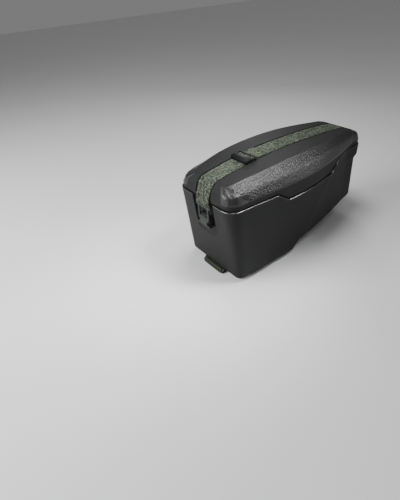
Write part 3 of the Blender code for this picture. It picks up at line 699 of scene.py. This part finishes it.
def rounded(obj, width, segments=3):
    """Rounds an object's edges, and turns the result into its mesh."""
    bevel = obj.modifiers.new("round", "BEVEL")
    bevel.width = width * MM
    bevel.segments = segments
    bevel.limit_method = "ANGLE"
    bevel.angle_limit = math.radians(30.0)
    bevel.use_clamp_overlap = True
    return baked(obj, sharp=45.0)


# %% Make the keel
KEEL_AHEAD, KEEL_SLOPE, KEEL_INTO, KEEL_NOSE = 6.0, 5.0, 3.0, 4.0
KEEL_LIFT, KEEL_ROUND = 0.02, 2.5
keel_z = BASE_Z + KEEL_LIFT
step_foot = FRONT_RAKE + STEP_X
keel_end = step_foot + KEEL_LEN
bm = bmesh.new()
prism_mesh(bm, ((step_foot - KEEL_AHEAD, keel_z), (keel_end, keel_z),
                (keel_end + KEEL_SLOPE, BASE_Z + underside(keel_end) + KEEL_INTO),
                (step_foot + STEP_RUN, BASE_Z + STEP_RISE + KEEL_INTO),
                (step_foot - KEEL_AHEAD, BASE_Z + KEEL_NOSE)), -KEEL_HALF, KEEL_HALF)
keel = rounded(mesh_object("tub_keel", bm, foam), KEEL_ROUND)
print("keel faces", len(keel.data.polygons))


# %% [markdown]
# The lid is the second loft. A low band stands on the rim, tabs hang from it into the dips, and
# above it the shoulders turn over to a sharp crease round the flat top. The pebbled panel on a
# shoulder stands 1.1 mm proud, and its front end is cut round. Before it the corner has a ridge
# and a shallow valley.

# %% The lid's top and panels
CREASE_X0 = LEDGE + CREASE_FRONT
CREASE_X1 = RIM_LEN - LEDGE - CREASE_REAR
CREST_X = CREASE_X0 + CREST_AT
PANEL_OUT, GUTTER = 1.1, 1.8
GRAIN_FRONT, GRAIN_RUN, GRAIN_REAR = 22.5, 36.0, 46.0
FRONT_GRAIN = 0.4              # the corners carry a weaker grain
CORNER_FOLD = ((0.10, 0.09, 0.8), (0.62, 0.16, -1.1))   # ridge, valley: place, half width, out


def lid_top(x):
    """Height of the flat top above the floor."""
    drop, run = (FRONT_DROP, CREST_X - CREASE_X0) if x <= CREST_X else \
        (REAR_DROP, CREASE_X1 - CREST_X)
    return RIM_Z + CREST_H - drop * ((x - CREST_X) / run) ** 2


def panel(column, x, t):
    """1 on the grained panel of a shoulder, x at the point and t up the shoulder."""
    if column[0] in ("front", "rear"):
        return 0.0
    front = GRAIN_FRONT + GRAIN_RUN * (1.0 - t) ** 1.6
    rear = RIM_LEN - GRAIN_REAR - 14.0 * (1.0 - t) ** 2
    return step(x, front - 1.4, front + 1.4) * (1.0 - step(x, rear - 2.0, rear + 2.0)) \
        * step(t, 0.02, 0.06) * (1.0 - step(t, 0.985, 0.999))


print("the lid's top rises from", round(lid_top(CREASE_X0), 1), "to", lid_top(CREST_X), "mm")


# %% [markdown]
# A shoulder runs from the band up to the crease. Its profile has a steep face, a soft knee and a
# flatter face, and each point of it also knows which way is outwards, for what stands proud.

# %% From the band to the crease
def band_point(column, inset):
    r = 0.55 * (LEDGE + inset)
    return half_point(column, LEDGE + inset, RIM_LEN - LEDGE - inset,
                      lambda s: RIM_HALF * smooth_table(RIM_COL, s) - LEDGE - inset,
                      FRONT_RADIUS - r, REAR_RADIUS - r)


def crease_point(column, inset):
    r = CREASE_RADIUS - 0.4 * inset
    return half_point(column, CREASE_X0 + inset, CREASE_X1 - inset,
                      lambda s: CREASE_HALF * smooth_table(CREASE_COL, s) - 0.6 * inset, r, r)


KNEE_LOW, KNEE_HIGH = 0.40, 0.60     # where the knee's round part starts and ends


def knee(t):
    """Profile of a shoulder: a steep face, a soft knee and a flatter face, as (in, up)."""
    low = (0.72 * KNEE_IN, 0.72 * KNEE_UP)
    high = (KNEE_IN + 0.2 * (1.0 - KNEE_IN), KNEE_UP + 0.2 * (1.0 - KNEE_UP))
    if t <= KNEE_LOW:
        return tuple(t / KNEE_LOW * v for v in low)
    if t >= KNEE_HIGH:
        share = (t - KNEE_HIGH) / (1.0 - KNEE_HIGH)
        return tuple(v + share * (1.0 - v) for v in high)
    return bezier(low, (KNEE_IN, KNEE_UP), high, (t - KNEE_LOW) / (KNEE_HIGH - KNEE_LOW))


def shoulder_point(column, t, inset=0.0, roof=0.0):
    """Point of the shoulder between band and crease, and its outward direction."""
    bx, by = band_point(column, inset)
    cx, cy = crease_point(column, inset)
    top, z_band = lid_top(cx) - roof, RIM_Z + BAND_H

    def at(share):
        move, rise = knee(share)
        return Vector((bx + move * (cx - bx), by + move * (cy - by),
                       z_band + rise * (top - z_band)))
    point = at(t)
    rise = (at(t + 0.01) - point).normalized()
    flat = Vector((bx - cx, by - cy, 0.0)).normalized()
    normal = (flat - rise * flat.dot(rise)).normalized()
    return point, normal


print("the knee is at", tuple(round(v, 3) for v in knee(0.5)), "of the way in and up")


# %% [markdown]
# The strap lies in a shallow groove over the lid, with a narrow gutter along each edge of the
# webbing. The rings of the band and of the shoulder are lowered where it runs.

# %% The groove and the lid's rings
def groove(y):
    """Depth of the strap's groove across the lid, with a gutter along each of its sides."""
    across = abs(y)
    gutter = step(across, 19.6, 20.8) * (1.0 - step(across, 22.4, GROOVE_HALF))
    return GROOVE_DEEP * (1.0 - step(across, GROOVE_HALF - 0.3, GROOVE_HALF + 0.6)) \
        + GUTTER * gutter


def lid_wall(z_of, inset=0.0, grooved=True):
    """Half ring on the lid's upright band, at a height that may change along it."""
    half = []
    for column in COLUMNS:
        x, y = band_point(column, inset)
        depth = groove(y) if grooved else 0.0
        move = {"front": depth, "rear": -depth}.get(column[0], 0.0)
        half.append((x + move, y, z_of(column, x), 0.0))
    return half


def corner_fold(column, t):
    """How far the front corner stands out in its ridge, or in in the valley before the panel."""
    if column[0] != "front_corner":
        return 0.0
    return step(t, 0.0, 0.12) * (1.0 - step(t, 0.9, 1.0)) * sum(
        out * math.exp(-((column[1] - at) / wide) ** 2) for at, wide, out in CORNER_FOLD)


def lid_shoulder(t, inset=0.0, roof=0.0, skin=True):
    half = []
    for column in COLUMNS:
        point, normal = shoulder_point(column, t, inset, roof)
        mask = panel(column, point.x, t) if skin else 0.0
        out = PANEL_OUT * mask + (corner_fold(column, t) * (1.0 - mask) if skin else 0.0)
        if skin and column[0] in ("front", "rear"):
            out -= groove(point.y)
        point = point + normal * out
        if skin and point.x < GRAIN_FRONT + GRAIN_RUN:
            mask = max(mask, FRONT_GRAIN)
        half.append((point.x, point.y, point.z, mask))
    return half


print("the groove is", GROOVE_DEEP, "mm deep, its gutters", round(groove(21.6), 2), "mm")


# %% [markdown]
# The lid starts at its foot on the rim and goes up the outside to the flat top. From the same
# foot it then goes up the inside to the roof, so that it is a closed wall with a real thickness.

# %% Make the lid
SHOULDER_LEVELS = (0.015, 0.03, 0.045, 0.06, 0.10, 0.16, 0.22, 0.28, 0.34, 0.40, 0.43, 0.46, 0.50,
                   0.54, 0.57, 0.60, 0.66, 0.72, 0.78, 0.84, 0.90, 0.95, 0.975, 0.985, 0.99,
                   0.995, 0.999)
LID_ROUND, CREASE_SOFT = 1.2, 1.2


def lid_foot(column, x):
    """Height of the lid's lower edge, down in the dips."""
    deep = dip_at(column, x)
    return RIM_Z - deep + GAP + (TAB_GAP - GAP) * min(deep / 3.0, 1.0)


def top_point(x, y):
    """Point of the flat top, with the groove in it and a soft edge at the crease."""
    return x, y, lid_top(x) - groove(y), 0.0


def build_lid():
    loft = Loft("lid_shell")
    loft.ring(lid_wall(lid_foot, LID_ROUND))
    loft.ring(lid_wall(lambda c, x: lid_foot(c, x) + 0.35 * LID_ROUND, 0.35 * LID_ROUND))
    loft.ring(lid_wall(lambda c, x: lid_foot(c, x) + LID_ROUND))
    for share in (0.3, 0.6, 0.85, 0.95):
        loft.ring(lid_wall(lambda c, x, s=share: lid_foot(c, x) + LID_ROUND
                           + s * (RIM_Z + BAND_H - lid_foot(c, x) - LID_ROUND)))
    for t in SHOULDER_LEVELS:
        loft.ring(lid_shoulder(t), PEBBLED)
    outer = loft.ring([top_point(*crease_point(column, CREASE_SOFT)) for column in COLUMNS])
    loft.cap(outer, top_point)

    first = loft.rings[0]
    loft.rings = [first]
    loft.ring(lid_wall(lid_foot, LID_WALL, False))
    loft.ring(lid_wall(lambda c, x: RIM_Z + BAND_H, LID_WALL, False))
    for t in (0.25, 0.5, 0.75):
        loft.ring(lid_shoulder(t, LID_WALL, LID_ROOF, False))
    last = loft.ring(lid_shoulder(1.0, LID_WALL, LID_ROOF, False))
    loft.cap(last, lambda x, y: (x, y, lid_top(x) - LID_ROOF, 0.0))
    return loft.finish()


lid = build_lid()
print("lid faces", len(lid.data.polygons))


# %% [markdown]
# The webbing is 41 mm wide and 1.8 mm thick. A path of points in the middle plane says where its
# core runs. The path is eased twice at its corners, and a section with round edges is carried
# along it. The same walk writes the cloth map in metres.

# %% Sizes of the strap and its fittings
STRAP_W, STRAP_T = 41.0, 1.8
LOCK_AT, LOCK_T, LOCK_BAR, LOCK_REAR_BAR, LOCK_SLOT, LOCK_SLOT_R = 81.0, 3.2, 5.0, 5.6, 4.2, 7.4
FOLD_LEN = 34.0
BUCKLE_TOP, LOOP_RAIL_H, BUCKLE_T = 5.0, 3.5, 2.8
REAR_ANCHOR_H, REAR_ANCHOR_DOWN, REAR_SLOT_IN = 24.0, 4.0, 3.6
LOCK_UNDER = STRAP_T + GAP
LOCK_OVER = LOCK_UNDER + LOCK_T + GAP + 0.5 * STRAP_T
MID = 0.5 * STRAP_T
BEHIND = GAP + MID
BUCKLE_BACK = 2 * GAP + STRAP_T


def lock_x():
    """Starts and ends of the ladder-lock's three bars."""
    x, bars = CREASE_X0 + LOCK_AT, []
    for bar, slot in ((LOCK_BAR, LOCK_SLOT), (LOCK_BAR, LOCK_SLOT_R), (LOCK_REAR_BAR, 0.0)):
        bars += [x, x + bar]
        x += bar + slot
    return bars


def lid_line():
    """Middle profile of the lid from the foot of its front to the foot of its rear."""
    ends = []
    for kind in ("front", "rear"):
        points = [shoulder_point((kind, 0), k / 10.0)[0] for k in range(11)]
        ends.append([(points[0].x, RIM_Z - 5.0)] + [(p.x, p.z) for p in points])
    span = CREASE_X1 - CREASE_X0
    top = [(CREASE_X0 + span * k / 40.0, lid_top(CREASE_X0 + span * k / 40.0))
           for k in range(1, 40)]
    return ends[0] + top + list(reversed(ends[1]))


def offset_line(line, distance):
    moved = []
    for i, (x, z) in enumerate(line):
        ax, az = line[max(i - 1, 0)]
        bx, bz = line[min(i + 1, len(line) - 1)]
        size = math.hypot(bx - ax, bz - az)
        moved.append((x + distance * (bz - az) / size, z - distance * (bx - ax) / size))
    return moved


def bed_point(x, h):
    return x, lid_top(x) - GROOVE_DEEP + GAP + h


print("the ladder-lock's bars are at", [round(v, 1) for v in lock_x()])


# %% [markdown]
# The front strap goes from its fold behind the buckle's loop to the ladder-lock. The rear one
# starts at the fold round the rear bar and ends at the hidden anchor on the rear wall.

# %% Paths of the two straps
def strap_paths():
    lock = lock_x()
    bed = offset_line(lid_line(), GROOVE_DEEP - GAP - MID)
    rail_foot = BUCKLE_TOP + LOOP_RAIL_H
    outside = BUCKLE_BACK + BUCKLE_T + BEHIND

    def hang(drop, depth):
        return RECESS_DEEP - depth, RIM_Z - drop
    turn = rail_foot + GAP + STRAP_T
    front = [hang(BUCKLE_TOP - 2.0, BEHIND), hang(rail_foot - 0.5, BEHIND),
             hang(turn, BEHIND + 0.5), hang(turn, outside - 0.5),
             hang(rail_foot - 0.5, outside), hang(BUCKLE_TOP - 1.0, outside - 0.2)]
    front += [p for p in bed if p[1] > RIM_Z + BAND_H + 2.0 and p[0] < lock[0] - 4.0]
    up, down = 0.5 * (lock[1] + lock[2]), lock[3] + BEHIND
    front += [bed_point(lock[0], MID), bed_point(up - MID, MID), bed_point(up, STRAP_T),
              bed_point(up, LOCK_OVER - MID), bed_point(up + MID, LOCK_OVER),
              bed_point(down - MID, LOCK_OVER), bed_point(down, LOCK_OVER - MID),
              bed_point(down, MID)]
    end, back = lock[5], lock[4] - BEHIND
    fold = STRAP_T + GAP + MID
    rear = [bed_point(end + FOLD_LEN, fold), bed_point(end + 0.5 * FOLD_LEN, fold),
            bed_point(end + 7.0, fold), bed_point(end + 2.0, LOCK_OVER - MID),
            bed_point(end, LOCK_OVER), bed_point(back + MID, LOCK_OVER),
            bed_point(back, LOCK_OVER - MID), bed_point(back, STRAP_T),
            bed_point(back + MID, MID), bed_point(end + 4.0, MID)]
    rear += [p for p in bed if p[0] > end + 10.0 and p[1] > RIM_Z + 0.5 * BAND_H]
    foot = RIM_Z - COLLAR_H
    slot_x = RIM_LEN - COLLAR_OUT + GAP + REAR_SLOT_IN + MID
    outer = RIM_LEN + BEHIND + 0.1
    rear += [(outer, RIM_Z + 0.5), (outer, foot - 1.2),
             (slot_x + 0.4, foot - COLLAR_SLANT - REAR_ANCHOR_DOWN),
             (slot_x, foot - COLLAR_SLANT - REAR_ANCHOR_DOWN - 0.5 * REAR_ANCHOR_H)]
    return front, rear


def eased(path, rounds=2):
    """Cuts the corners of a path, keeping its ends."""
    for _ in range(rounds):
        line = [path[0]]
        for (ax, az), (bx, bz) in zip(path, path[1:]):
            line += [(0.75 * ax + 0.25 * bx, 0.75 * az + 0.25 * bz),
                     (0.25 * ax + 0.75 * bx, 0.25 * az + 0.75 * bz)]
        path = line + [path[-1]]
    return path


# %% [markdown]
# A curve object with a bevel would make the ribbon too, but its map isn't in true lengths. So
# the section is set square to the path at each of its points, and the same walk writes the map.

# %% A ribbon of webbing
def ribbon_section():
    """Section of the webbing: (across, up) with round edges."""
    half, thick, edge = 0.5 * STRAP_W, 0.5 * STRAP_T, 0.7
    top = [(y, thick) for y in (half - edge, 0.6 * half, 0.3 * half, 0.0, -0.3 * half, -0.6 * half,
                                -half + edge)]
    left = [(-half + 0.2, 0.55 * thick), (-half, 0.0), (-half + 0.2, -0.55 * thick)]
    return top + left + [(-y, -u) for y, u in top] + [(-y, -u) for y, u in left]


def build_strap(name, path):
    path = eased(path)
    section = ribbon_section()
    bm = bmesh.new()
    cloth = bm.loops.layers.uv.new("cloth")
    around = [0.0]
    for a, b in zip(section, section[1:] + section[:1]):
        around.append(around[-1] + math.hypot(b[0] - a[0], b[1] - a[1]))
    rings, travel = [], [0.0]
    for i, (x, z) in enumerate(path):
        a, b = path[max(i - 1, 0)], path[min(i + 1, len(path) - 1)]
        size = math.hypot(b[0] - a[0], b[1] - a[1])
        nx, nz = -(b[1] - a[1]) / size, (b[0] - a[0]) / size
        rings.append([bm.verts.new(((x + nx * u + FRONT) * MM, y * MM, (z + nz * u) * MM))
                      for y, u in section])
        if i:
            travel.append(travel[-1] + math.hypot(x - path[i - 1][0], z - path[i - 1][1]))
    count = len(section)
    for i in range(len(rings) - 1):
        for k in range(count):
            j = (k + 1) % count
            face = bm.faces.new((rings[i][k], rings[i + 1][k], rings[i + 1][j], rings[i][j]))
            across = (around[k], around[k], around[k + 1], around[k + 1])
            along = (travel[i], travel[i + 1], travel[i + 1], travel[i])
            for loop, u, v in zip(face.loops, across, along):
                loop[cloth].uv = (u * MM, v * MM)
    bm.faces.new(list(reversed(rings[0])))
    bm.faces.new(rings[-1])
    obj = mesh_object(name, bm, webbing, 50.0)
    print(name, "is", round(travel[-1]), "mm long, faces", len(obj.data.polygons))
    return obj


front_path, rear_path = strap_paths()
strap_front = build_strap("strap_front_web", front_path)
strap_rear = build_strap("strap_rear_web", rear_path)


# %% [markdown]
# The fittings are already right in the construction model, except that a moulding has no sharp
# edge. A copy of each is merged into clean faces and its edges are rounded.

# %% Moulded fittings
def moulding(node, name, material, radius, segments=3):
    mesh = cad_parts[node].data.copy()
    bm = bmesh.new()
    bm.from_mesh(mesh)
    bmesh.ops.remove_doubles(bm, verts=bm.verts, dist=1e-6)
    bmesh.ops.dissolve_limit(bm, angle_limit=math.radians(1.0), verts=bm.verts, edges=bm.edges)
    bpy.data.meshes.remove(mesh)
    obj = rounded(mesh_object(name, bm, material), radius, segments)
    print(name, "faces", len(obj.data.polygons))
    return obj


buckle = moulding("front_buckle", "hook_buckle", acetal_green, 0.7)
front_anchor = moulding("front_anchor", "buckle_anchor", nylon_grey, 0.6)
rear_anchor = moulding("rear_anchor", "strap_anchor", acetal_black, 0.8)
plate = moulding("base_plate", "slide_plate", nylon_black, 0.8, 2)
lever = moulding("release_lever", "press_lever", acetal_olive, 0.6)


# %% [markdown]
# The ladder-lock is a frame with three bars and a raised hood. The webbing dives under the
# front bar, turns over the middle one in the shade of the hood, and loops round the rear one.
# Each member is a prism with rounded edges, and all of them are one moulding.

# %% The ladder-lock
LOCK_HALF, RAIL_IN, HOOD_T = 24.0, 20.9, 1.9
HOOD_LIFT = LOCK_OVER + MID + GAP      # clear of the webbing that turns over the middle bar


def lock_member(bm, profile, low, high):
    """A prism whose profile is given as distance from the lock's front and height over the bed."""
    start = lock_x()[0]
    prism_mesh(bm, [bed_point(start + x, h) for x, h in profile], low, high)


def build_lock():
    bars = [b - lock_x()[0] for b in lock_x()]
    low, top = LOCK_UNDER, LOCK_UNDER + LOCK_T
    crown = HOOD_LIFT + HOOD_T
    end = bars[5]
    bm = bmesh.new()
    for a, b in ((0, 1), (2, 3), (4, 5)):
        lock_member(bm, ((bars[a], low), (bars[b], low), (bars[b], top), (bars[a], top)),
                    -RAIL_IN - 0.4, RAIL_IN + 0.4)
    # The hood goes up from a front lip, over the webbing, and ends behind the middle bar.
    hood = ((-1.6, low + 0.2), (0.9, low + 0.2), (2.6, HOOD_LIFT - 1.2), (4.6, HOOD_LIFT),
            (bars[3] + 1.2, HOOD_LIFT - 0.1), (bars[3] + 1.6, HOOD_LIFT + 0.9),
            (bars[3] + 0.4, crown - 0.2), (5.0, crown + 0.5), (1.6, crown - 0.2),
            (-0.6, crown - 2.0))
    lock_member(bm, hood, -RAIL_IN - 0.8, RAIL_IN + 0.8)
    # The bridge lies over the rear bar, where the rear strap is looped.
    bridge = ((bars[4] + 0.6, HOOD_LIFT), (bars[5] - 0.2, HOOD_LIFT),
              (bars[5] - 0.6, crown - 0.3), (bars[4] + 1.0, crown - 0.3))
    lock_member(bm, bridge, -RAIL_IN - 0.8, RAIL_IN + 0.8)
    # A rail on each side joins the bars and carries the hood and the bridge.
    rail = ((-0.8, low + 0.1), (end, low + 0.1), (end + 0.2, crown - 2.2), (end - 2.4, crown - 0.6),
            (bars[3] + 2.0, crown - 1.0), (4.0, crown), (1.0, crown - 1.0))
    for side in (-1.0, 1.0):
        lock_member(bm, rail, *sorted((side * RAIL_IN, side * LOCK_HALF)))
    return rounded(mesh_object("ladder_lock", bm, acetal_black), 0.45, 2)


lock = build_lock()
print("ladder-lock faces", len(lock.data.polygons))


# %% [markdown]
# A small black hook of the anchor shows beside the tongue. It is a bent rod, drawn as a tube
# with a rounded square section along a short path.

# %% The anchor's hook
HOOK_R, HOOK_SIDES = 2.1, 12
HOOK_PATH = ((3.4, -10.4, 145.0), (2.6, -10.8, 138.0), (2.4, -11.6, 133.6), (2.5, -13.6, 131.2),
             (2.8, -16.4, 130.8), (3.2, -20.0, 131.6))


def build_hook():
    points = [Vector(p) for p in HOOK_PATH]
    bm = bmesh.new()
    rings = []
    for i, point in enumerate(points):
        ahead = (points[min(i + 1, len(points) - 1)] - points[max(i - 1, 0)]).normalized()
        side = Vector((1.0, 0.0, 0.0))
        other = ahead.cross(side).normalized()
        ring = []
        for k in range(HOOK_SIDES):
            a = 2.0 * math.pi * k / HOOK_SIDES
            c, d = math.cos(a), math.sin(a)
            size = HOOK_R / max(abs(c), abs(d)) ** 0.5
            at = point + side * c * size + other * d * size
            ring.append(bm.verts.new(((at.x + FRONT) * MM, at.y * MM, at.z * MM)))
        rings.append(ring)
    for low, high in zip(rings, rings[1:]):
        for k in range(HOOK_SIDES):
            j = (k + 1) % HOOK_SIDES
            bm.faces.new((low[k], low[j], high[j], high[k]))
    bm.faces.new(rings[0])
    bm.faces.new(list(reversed(rings[-1])))
    return rounded(mesh_object("anchor_hook", bm, acetal_black), 0.5, 2)


hook = build_hook()
print("hook faces", len(hook.data.polygons))


# %% [markdown]
# The press lever has fine ribs across its lip, so that a thumb does not slip. Ribs repeat, so
# Geometry Nodes lay them: a line of points, one rib on each, made real and given the plastic.

# %% An object that nodes fill
def node_modifier(name, tree, values):
    """An empty object that a tree of nodes fills. values are by the input's name."""
    obj = bpy.data.objects.new(name, bpy.data.meshes.new(name))
    bpy.context.scene.collection.objects.link(obj)
    modifier = obj.modifiers.new("make", "NODES")
    modifier.node_group = tree
    by_name = {item.name: item.identifier for item in tree.interface.items_tree
               if getattr(item, "in_out", "") == "INPUT"}
    for key, value in values.items():
        modifier[by_name[key]] = value
    return obj


# %% [markdown]
# The tree itself: points on a line, a small bar on each, then real geometry and its material.
# Count, pitch, length and radius are inputs, so the same tree can serve another row.

# %% A tree that repeats a bar
def new_tree(name, sockets):
    tree = bpy.data.node_groups.new(name, "GeometryNodeTree")
    for title, kind, value in sockets:
        socket = tree.interface.new_socket(title, in_out="INPUT", socket_type=kind)
        socket.default_value = value
    tree.interface.new_socket("Geometry", in_out="OUTPUT", socket_type="NodeSocketGeometry")
    return tree, tree.nodes.new("NodeGroupInput"), tree.nodes.new("NodeGroupOutput")


def row_tree(name, material):
    """Repeats a small round-ended bar along Y."""
    tree, given, result = new_tree(name, (
        ("Count", "NodeSocketInt", 10), ("Pitch", "NodeSocketFloat", 0.002),
        ("Length", "NodeSocketFloat", 0.01), ("Radius", "NodeSocketFloat", 0.0005)))
    gaps = calc(tree, "SUBTRACT", given.outputs["Count"], 1.0)
    span = calc(tree, "MULTIPLY", gaps, given.outputs["Pitch"])
    first = add(tree, "ShaderNodeCombineXYZ", Y=calc(tree, "MULTIPLY", span, -0.5))
    gap = add(tree, "ShaderNodeCombineXYZ", Y=given.outputs["Pitch"])
    line = add(tree, "GeometryNodeMeshLine", {"mode": "OFFSET"}, Count=given.outputs["Count"],
               Start_Location=first.outputs[0], Offset=gap.outputs[0])
    bar = add(tree, "GeometryNodeMeshCylinder", {"fill_type": "NGON"}, Vertices=10, Side_Segments=1,
              Radius=given.outputs["Radius"], Depth=given.outputs["Length"])
    lying = add(tree, "GeometryNodeTransform", Geometry=bar.outputs["Mesh"],
                Rotation=(0.0, 0.5 * math.pi, 0.0))
    copies = add(tree, "GeometryNodeInstanceOnPoints", Points=line.outputs[0],
                 Instance=lying.outputs[0])
    real = add(tree, "GeometryNodeRealizeInstances", Geometry=copies.outputs[0])
    dressed = add(tree, "GeometryNodeSetMaterial", Geometry=real.outputs[0], Material=material)
    tree.links.new(dressed.outputs[0], result.inputs[0])
    return tree


# %% The lever's ribs
LEVER_OUT, LEVER_LIP, PLATE_T = 8.0, 3.0, 12.0
RIB_PITCH, RIB_R, LEVER_HALF, RIB_EDGE = 2.3, 0.55, 29.0, 0.8
BROW_OUT, BROW_DOWN = 4.0, 0.6
lip_x, lip_z = FRONT_RAKE - LEVER_OUT, LEVER_LIP
brow_x, brow_z = FRONT_RAKE - BROW_OUT, PLATE_T - BROW_DOWN
slope_len = math.hypot(brow_x - lip_x, brow_z - lip_z)
rib_tree = row_tree("lever_ribs", acetal_olive)
lever_ribs = node_modifier("lever_rib_row", rib_tree, {
    "Count": int((2 * LEVER_HALF - 5 * RIB_EDGE) / RIB_PITCH), "Pitch": RIB_PITCH * MM,
    "Length": (slope_len - 2 * RIB_EDGE) * MM, "Radius": RIB_R * MM})
tilt = math.atan2(brow_z - lip_z, brow_x - lip_x)
centre = Vector(((0.5 * (lip_x + brow_x) + FRONT) * MM, 0.0, 0.5 * (lip_z + brow_z) * MM))
baked(lever_ribs, Matrix.Translation(centre) @ Matrix.Rotation(-tilt, 4, "Y"))
print("lever ribs", len(lever_ribs.data.polygons), "faces")


# %% [markdown]
# Bar tacks hold the webbing's folds: dense rows of stitches across the strap. They use the same
# tree as the ribs, with thread instead of plastic, laid on the strap's face.

# %% Stitches by Geometry Nodes
STITCHES, STITCH_PITCH, STITCH_LEN, THREAD_R = 17, 2.2, 2.2, 0.3
thread, thread_tree, thread_shader, thread_place = new_material("bonded_polyester_thread")
thread_twist = noise(thread_tree, thread_place, 0.6)
set_shader(thread_tree, thread_shader, Roughness=0.6,
           Base_Color=blend(thread_tree, thread_twist, "#4c5542", "#727c62"))
stitch_tree = row_tree("stitch_row", thread)


def stitch_row(name, x, h):
    """A row of stitches across the strap at a place on the lid's top."""
    row = node_modifier(name, stitch_tree, {
        "Count": STITCHES, "Pitch": STITCH_PITCH * MM, "Length": STITCH_LEN * MM,
        "Radius": THREAD_R * MM})
    at = Vector(((x + FRONT) * MM, 0.0, bed_point(x, h)[1] * MM))
    slope = math.atan2(lid_top(x + 1.0) - lid_top(x - 1.0), 2.0)
    return baked(row, Matrix.Translation(at) @ Matrix.Rotation(-slope, 4, "Y"))


STITCH_ROWS, ROW_FROM, ROW_STEP, ROW_PROUD = 3, 14.0, 7.0, 0.05
fold_top = 2 * STRAP_T + GAP
lock_end = lock_x()[5]
stitches = [stitch_row(f"fold_stitches_{k + 1}", lock_end + ROW_FROM + ROW_STEP * k,
                       fold_top + ROW_PROUD) for k in range(STITCH_ROWS)]
print("stitch rows", len(stitches))


# %% [markdown]
# Every piece rides on a body of the construction model, and the node that it stands for is
# hidden. Only the press lever moves, so its ribs ride with it.

# %% Bodies
STANDS_FOR = (
    # piece, node, body
    (tub, "tub", "box"), (lid, "lid", "box"), (strap_front, "strap_front", "box"),
    (strap_rear, "strap_rear", "box"), (lock, "strap_adjuster", "box"),
    (buckle, "front_buckle", "box"), (front_anchor, "front_anchor", "box"),
    (rear_anchor, "rear_anchor", "box"), (plate, "base_plate", "box"),
    (lever, "release_lever", "lever"),
)
for piece, node, body in STANDS_FOR:
    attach(piece, body)
    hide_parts(node)
EXTRAS = ((keel, "tub", "box"), (hook, "front_anchor", "box"),
          (lever_ribs, "release_lever", "lever"))
for piece, node, body in EXTRAS + tuple((row, "strap_rear", "box") for row in stitches):
    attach(piece, body)
print(len(STANDS_FOR), "pieces for nodes,", len(EXTRAS) + len(stitches), "more on them")


# %% [markdown]
# The floor is a pale sweep, and the light is soft. A broad panel stands to the front left.
# Smaller ones, two of them with a narrow spread, draw the streak on the pebbled shoulder, the
# light on its lower face and the glint on the near corner. Two more light the top.

# %% Floor and light
def backdrop():
    bm = bmesh.new()
    bmesh.ops.create_grid(bm, x_segments=2, y_segments=2, size=6.0)
    mesh_object("floor", bm, floor_material())


def floor_material():
    material, tree, shader, place = new_material("matte_paper_sweep")
    tone = add(tree, "ShaderNodeTexNoise", Vector=place, Scale=3.0, Detail=3.0).outputs["Fac"]
    set_shader(tree, shader, Base_Color=blend(tree, tone, "#e6e6e7", "#ececed"), Roughness=0.9)
    return material


backdrop()
world = bpy.data.worlds.new("studio")
bpy.context.scene.world = world
world.use_nodes = True
world.node_tree.nodes["Background"].inputs[0].default_value = (1.0, 1.0, 1.0, 1.0)
world.node_tree.nodes["Background"].inputs[1].default_value = 0.20


PANELS = (
    # name, place and aim in metres, width and height, watts, spread in degrees
    ("panel_left", (-1.5, 0.45, 0.9), (0.0, 0.0, 0.1), (1.0, 1.0), 38.0, 180.0),
    ("panel_streak", (0.10, -0.36, 0.88), (-0.23, -0.07, 0.22), (0.26, 0.32), 0.58, 36.0),
    ("panel_side", (0.46, -0.64, 0.46), (-0.13, -0.08, 0.22), (0.2, 0.2), 0.15, 32.0),
    ("panel_corner", (-0.72, -0.48, 0.84), (-0.22, -0.05, 0.2), (0.1, 0.1), 0.5, 180.0),
    ("panel_above", (-0.05, 0.10, 0.90), (-0.03, 0.0, 0.24), (0.3, 0.3), 4.4, 180.0),
    ("panel_back", (0.75, 0.85, 0.75), (-0.2, 0.0, 0.2), (0.22, 0.22), 1.8, 180.0),
)
for name, place, aim, size, power, spread in PANELS:
    light = bpy.data.lights.new(name, "AREA")
    light.shape = "RECTANGLE"
    light.size, light.size_y = size
    light.energy = power
    light.spread = math.radians(spread)
    lamp = bpy.data.objects.new(name, light)
    bpy.context.scene.collection.objects.link(lamp)
    lamp.location = place
    lamp.rotation_euler = (Vector(aim) - Vector(place)).to_track_quat("-Z", "Y").to_euler()
print("lights", len(PANELS))


# %% [markdown]
# The camera stands where the photograph's stood: to the front left and above. Its place was
# worked out from the box's own edges. The lens covers the photograph's frame of 400 by 500.

# %% Camera
CAMERA_AT = (-590.4, -494.6, 548.0)
AZIMUTH, ELEVATION, ROLL = -34.8, 38.5, -4.4
FOCAL_PX, FRAME_PX = 350.0, 500.0


def make_camera():
    a, e, r = (math.radians(v) for v in (AZIMUTH, ELEVATION, ROLL))
    back = Vector((math.sin(a) * math.cos(e), -math.cos(a) * math.cos(e), math.sin(e)))
    right = Vector((math.cos(a), math.sin(a), 0.0))
    up = back.cross(right)
    right2 = math.cos(r) * right + math.sin(r) * up
    up2 = -math.sin(r) * right + math.cos(r) * up
    data = bpy.data.cameras.new("camera")
    data.sensor_width = 36.0
    data.lens = FOCAL_PX / FRAME_PX * data.sensor_width
    data.clip_start, data.clip_end = 0.01, 50.0
    obj = bpy.data.objects.new("camera", data)
    bpy.context.scene.collection.objects.link(obj)
    turn = Matrix((right2, up2, back)).transposed().to_4x4()
    obj.matrix_world = Matrix.Translation(Vector(CAMERA_AT) * MM) @ turn
    bpy.context.scene.camera = obj


make_camera()
print("lens of", bpy.context.scene.camera.data.lens, "mm")
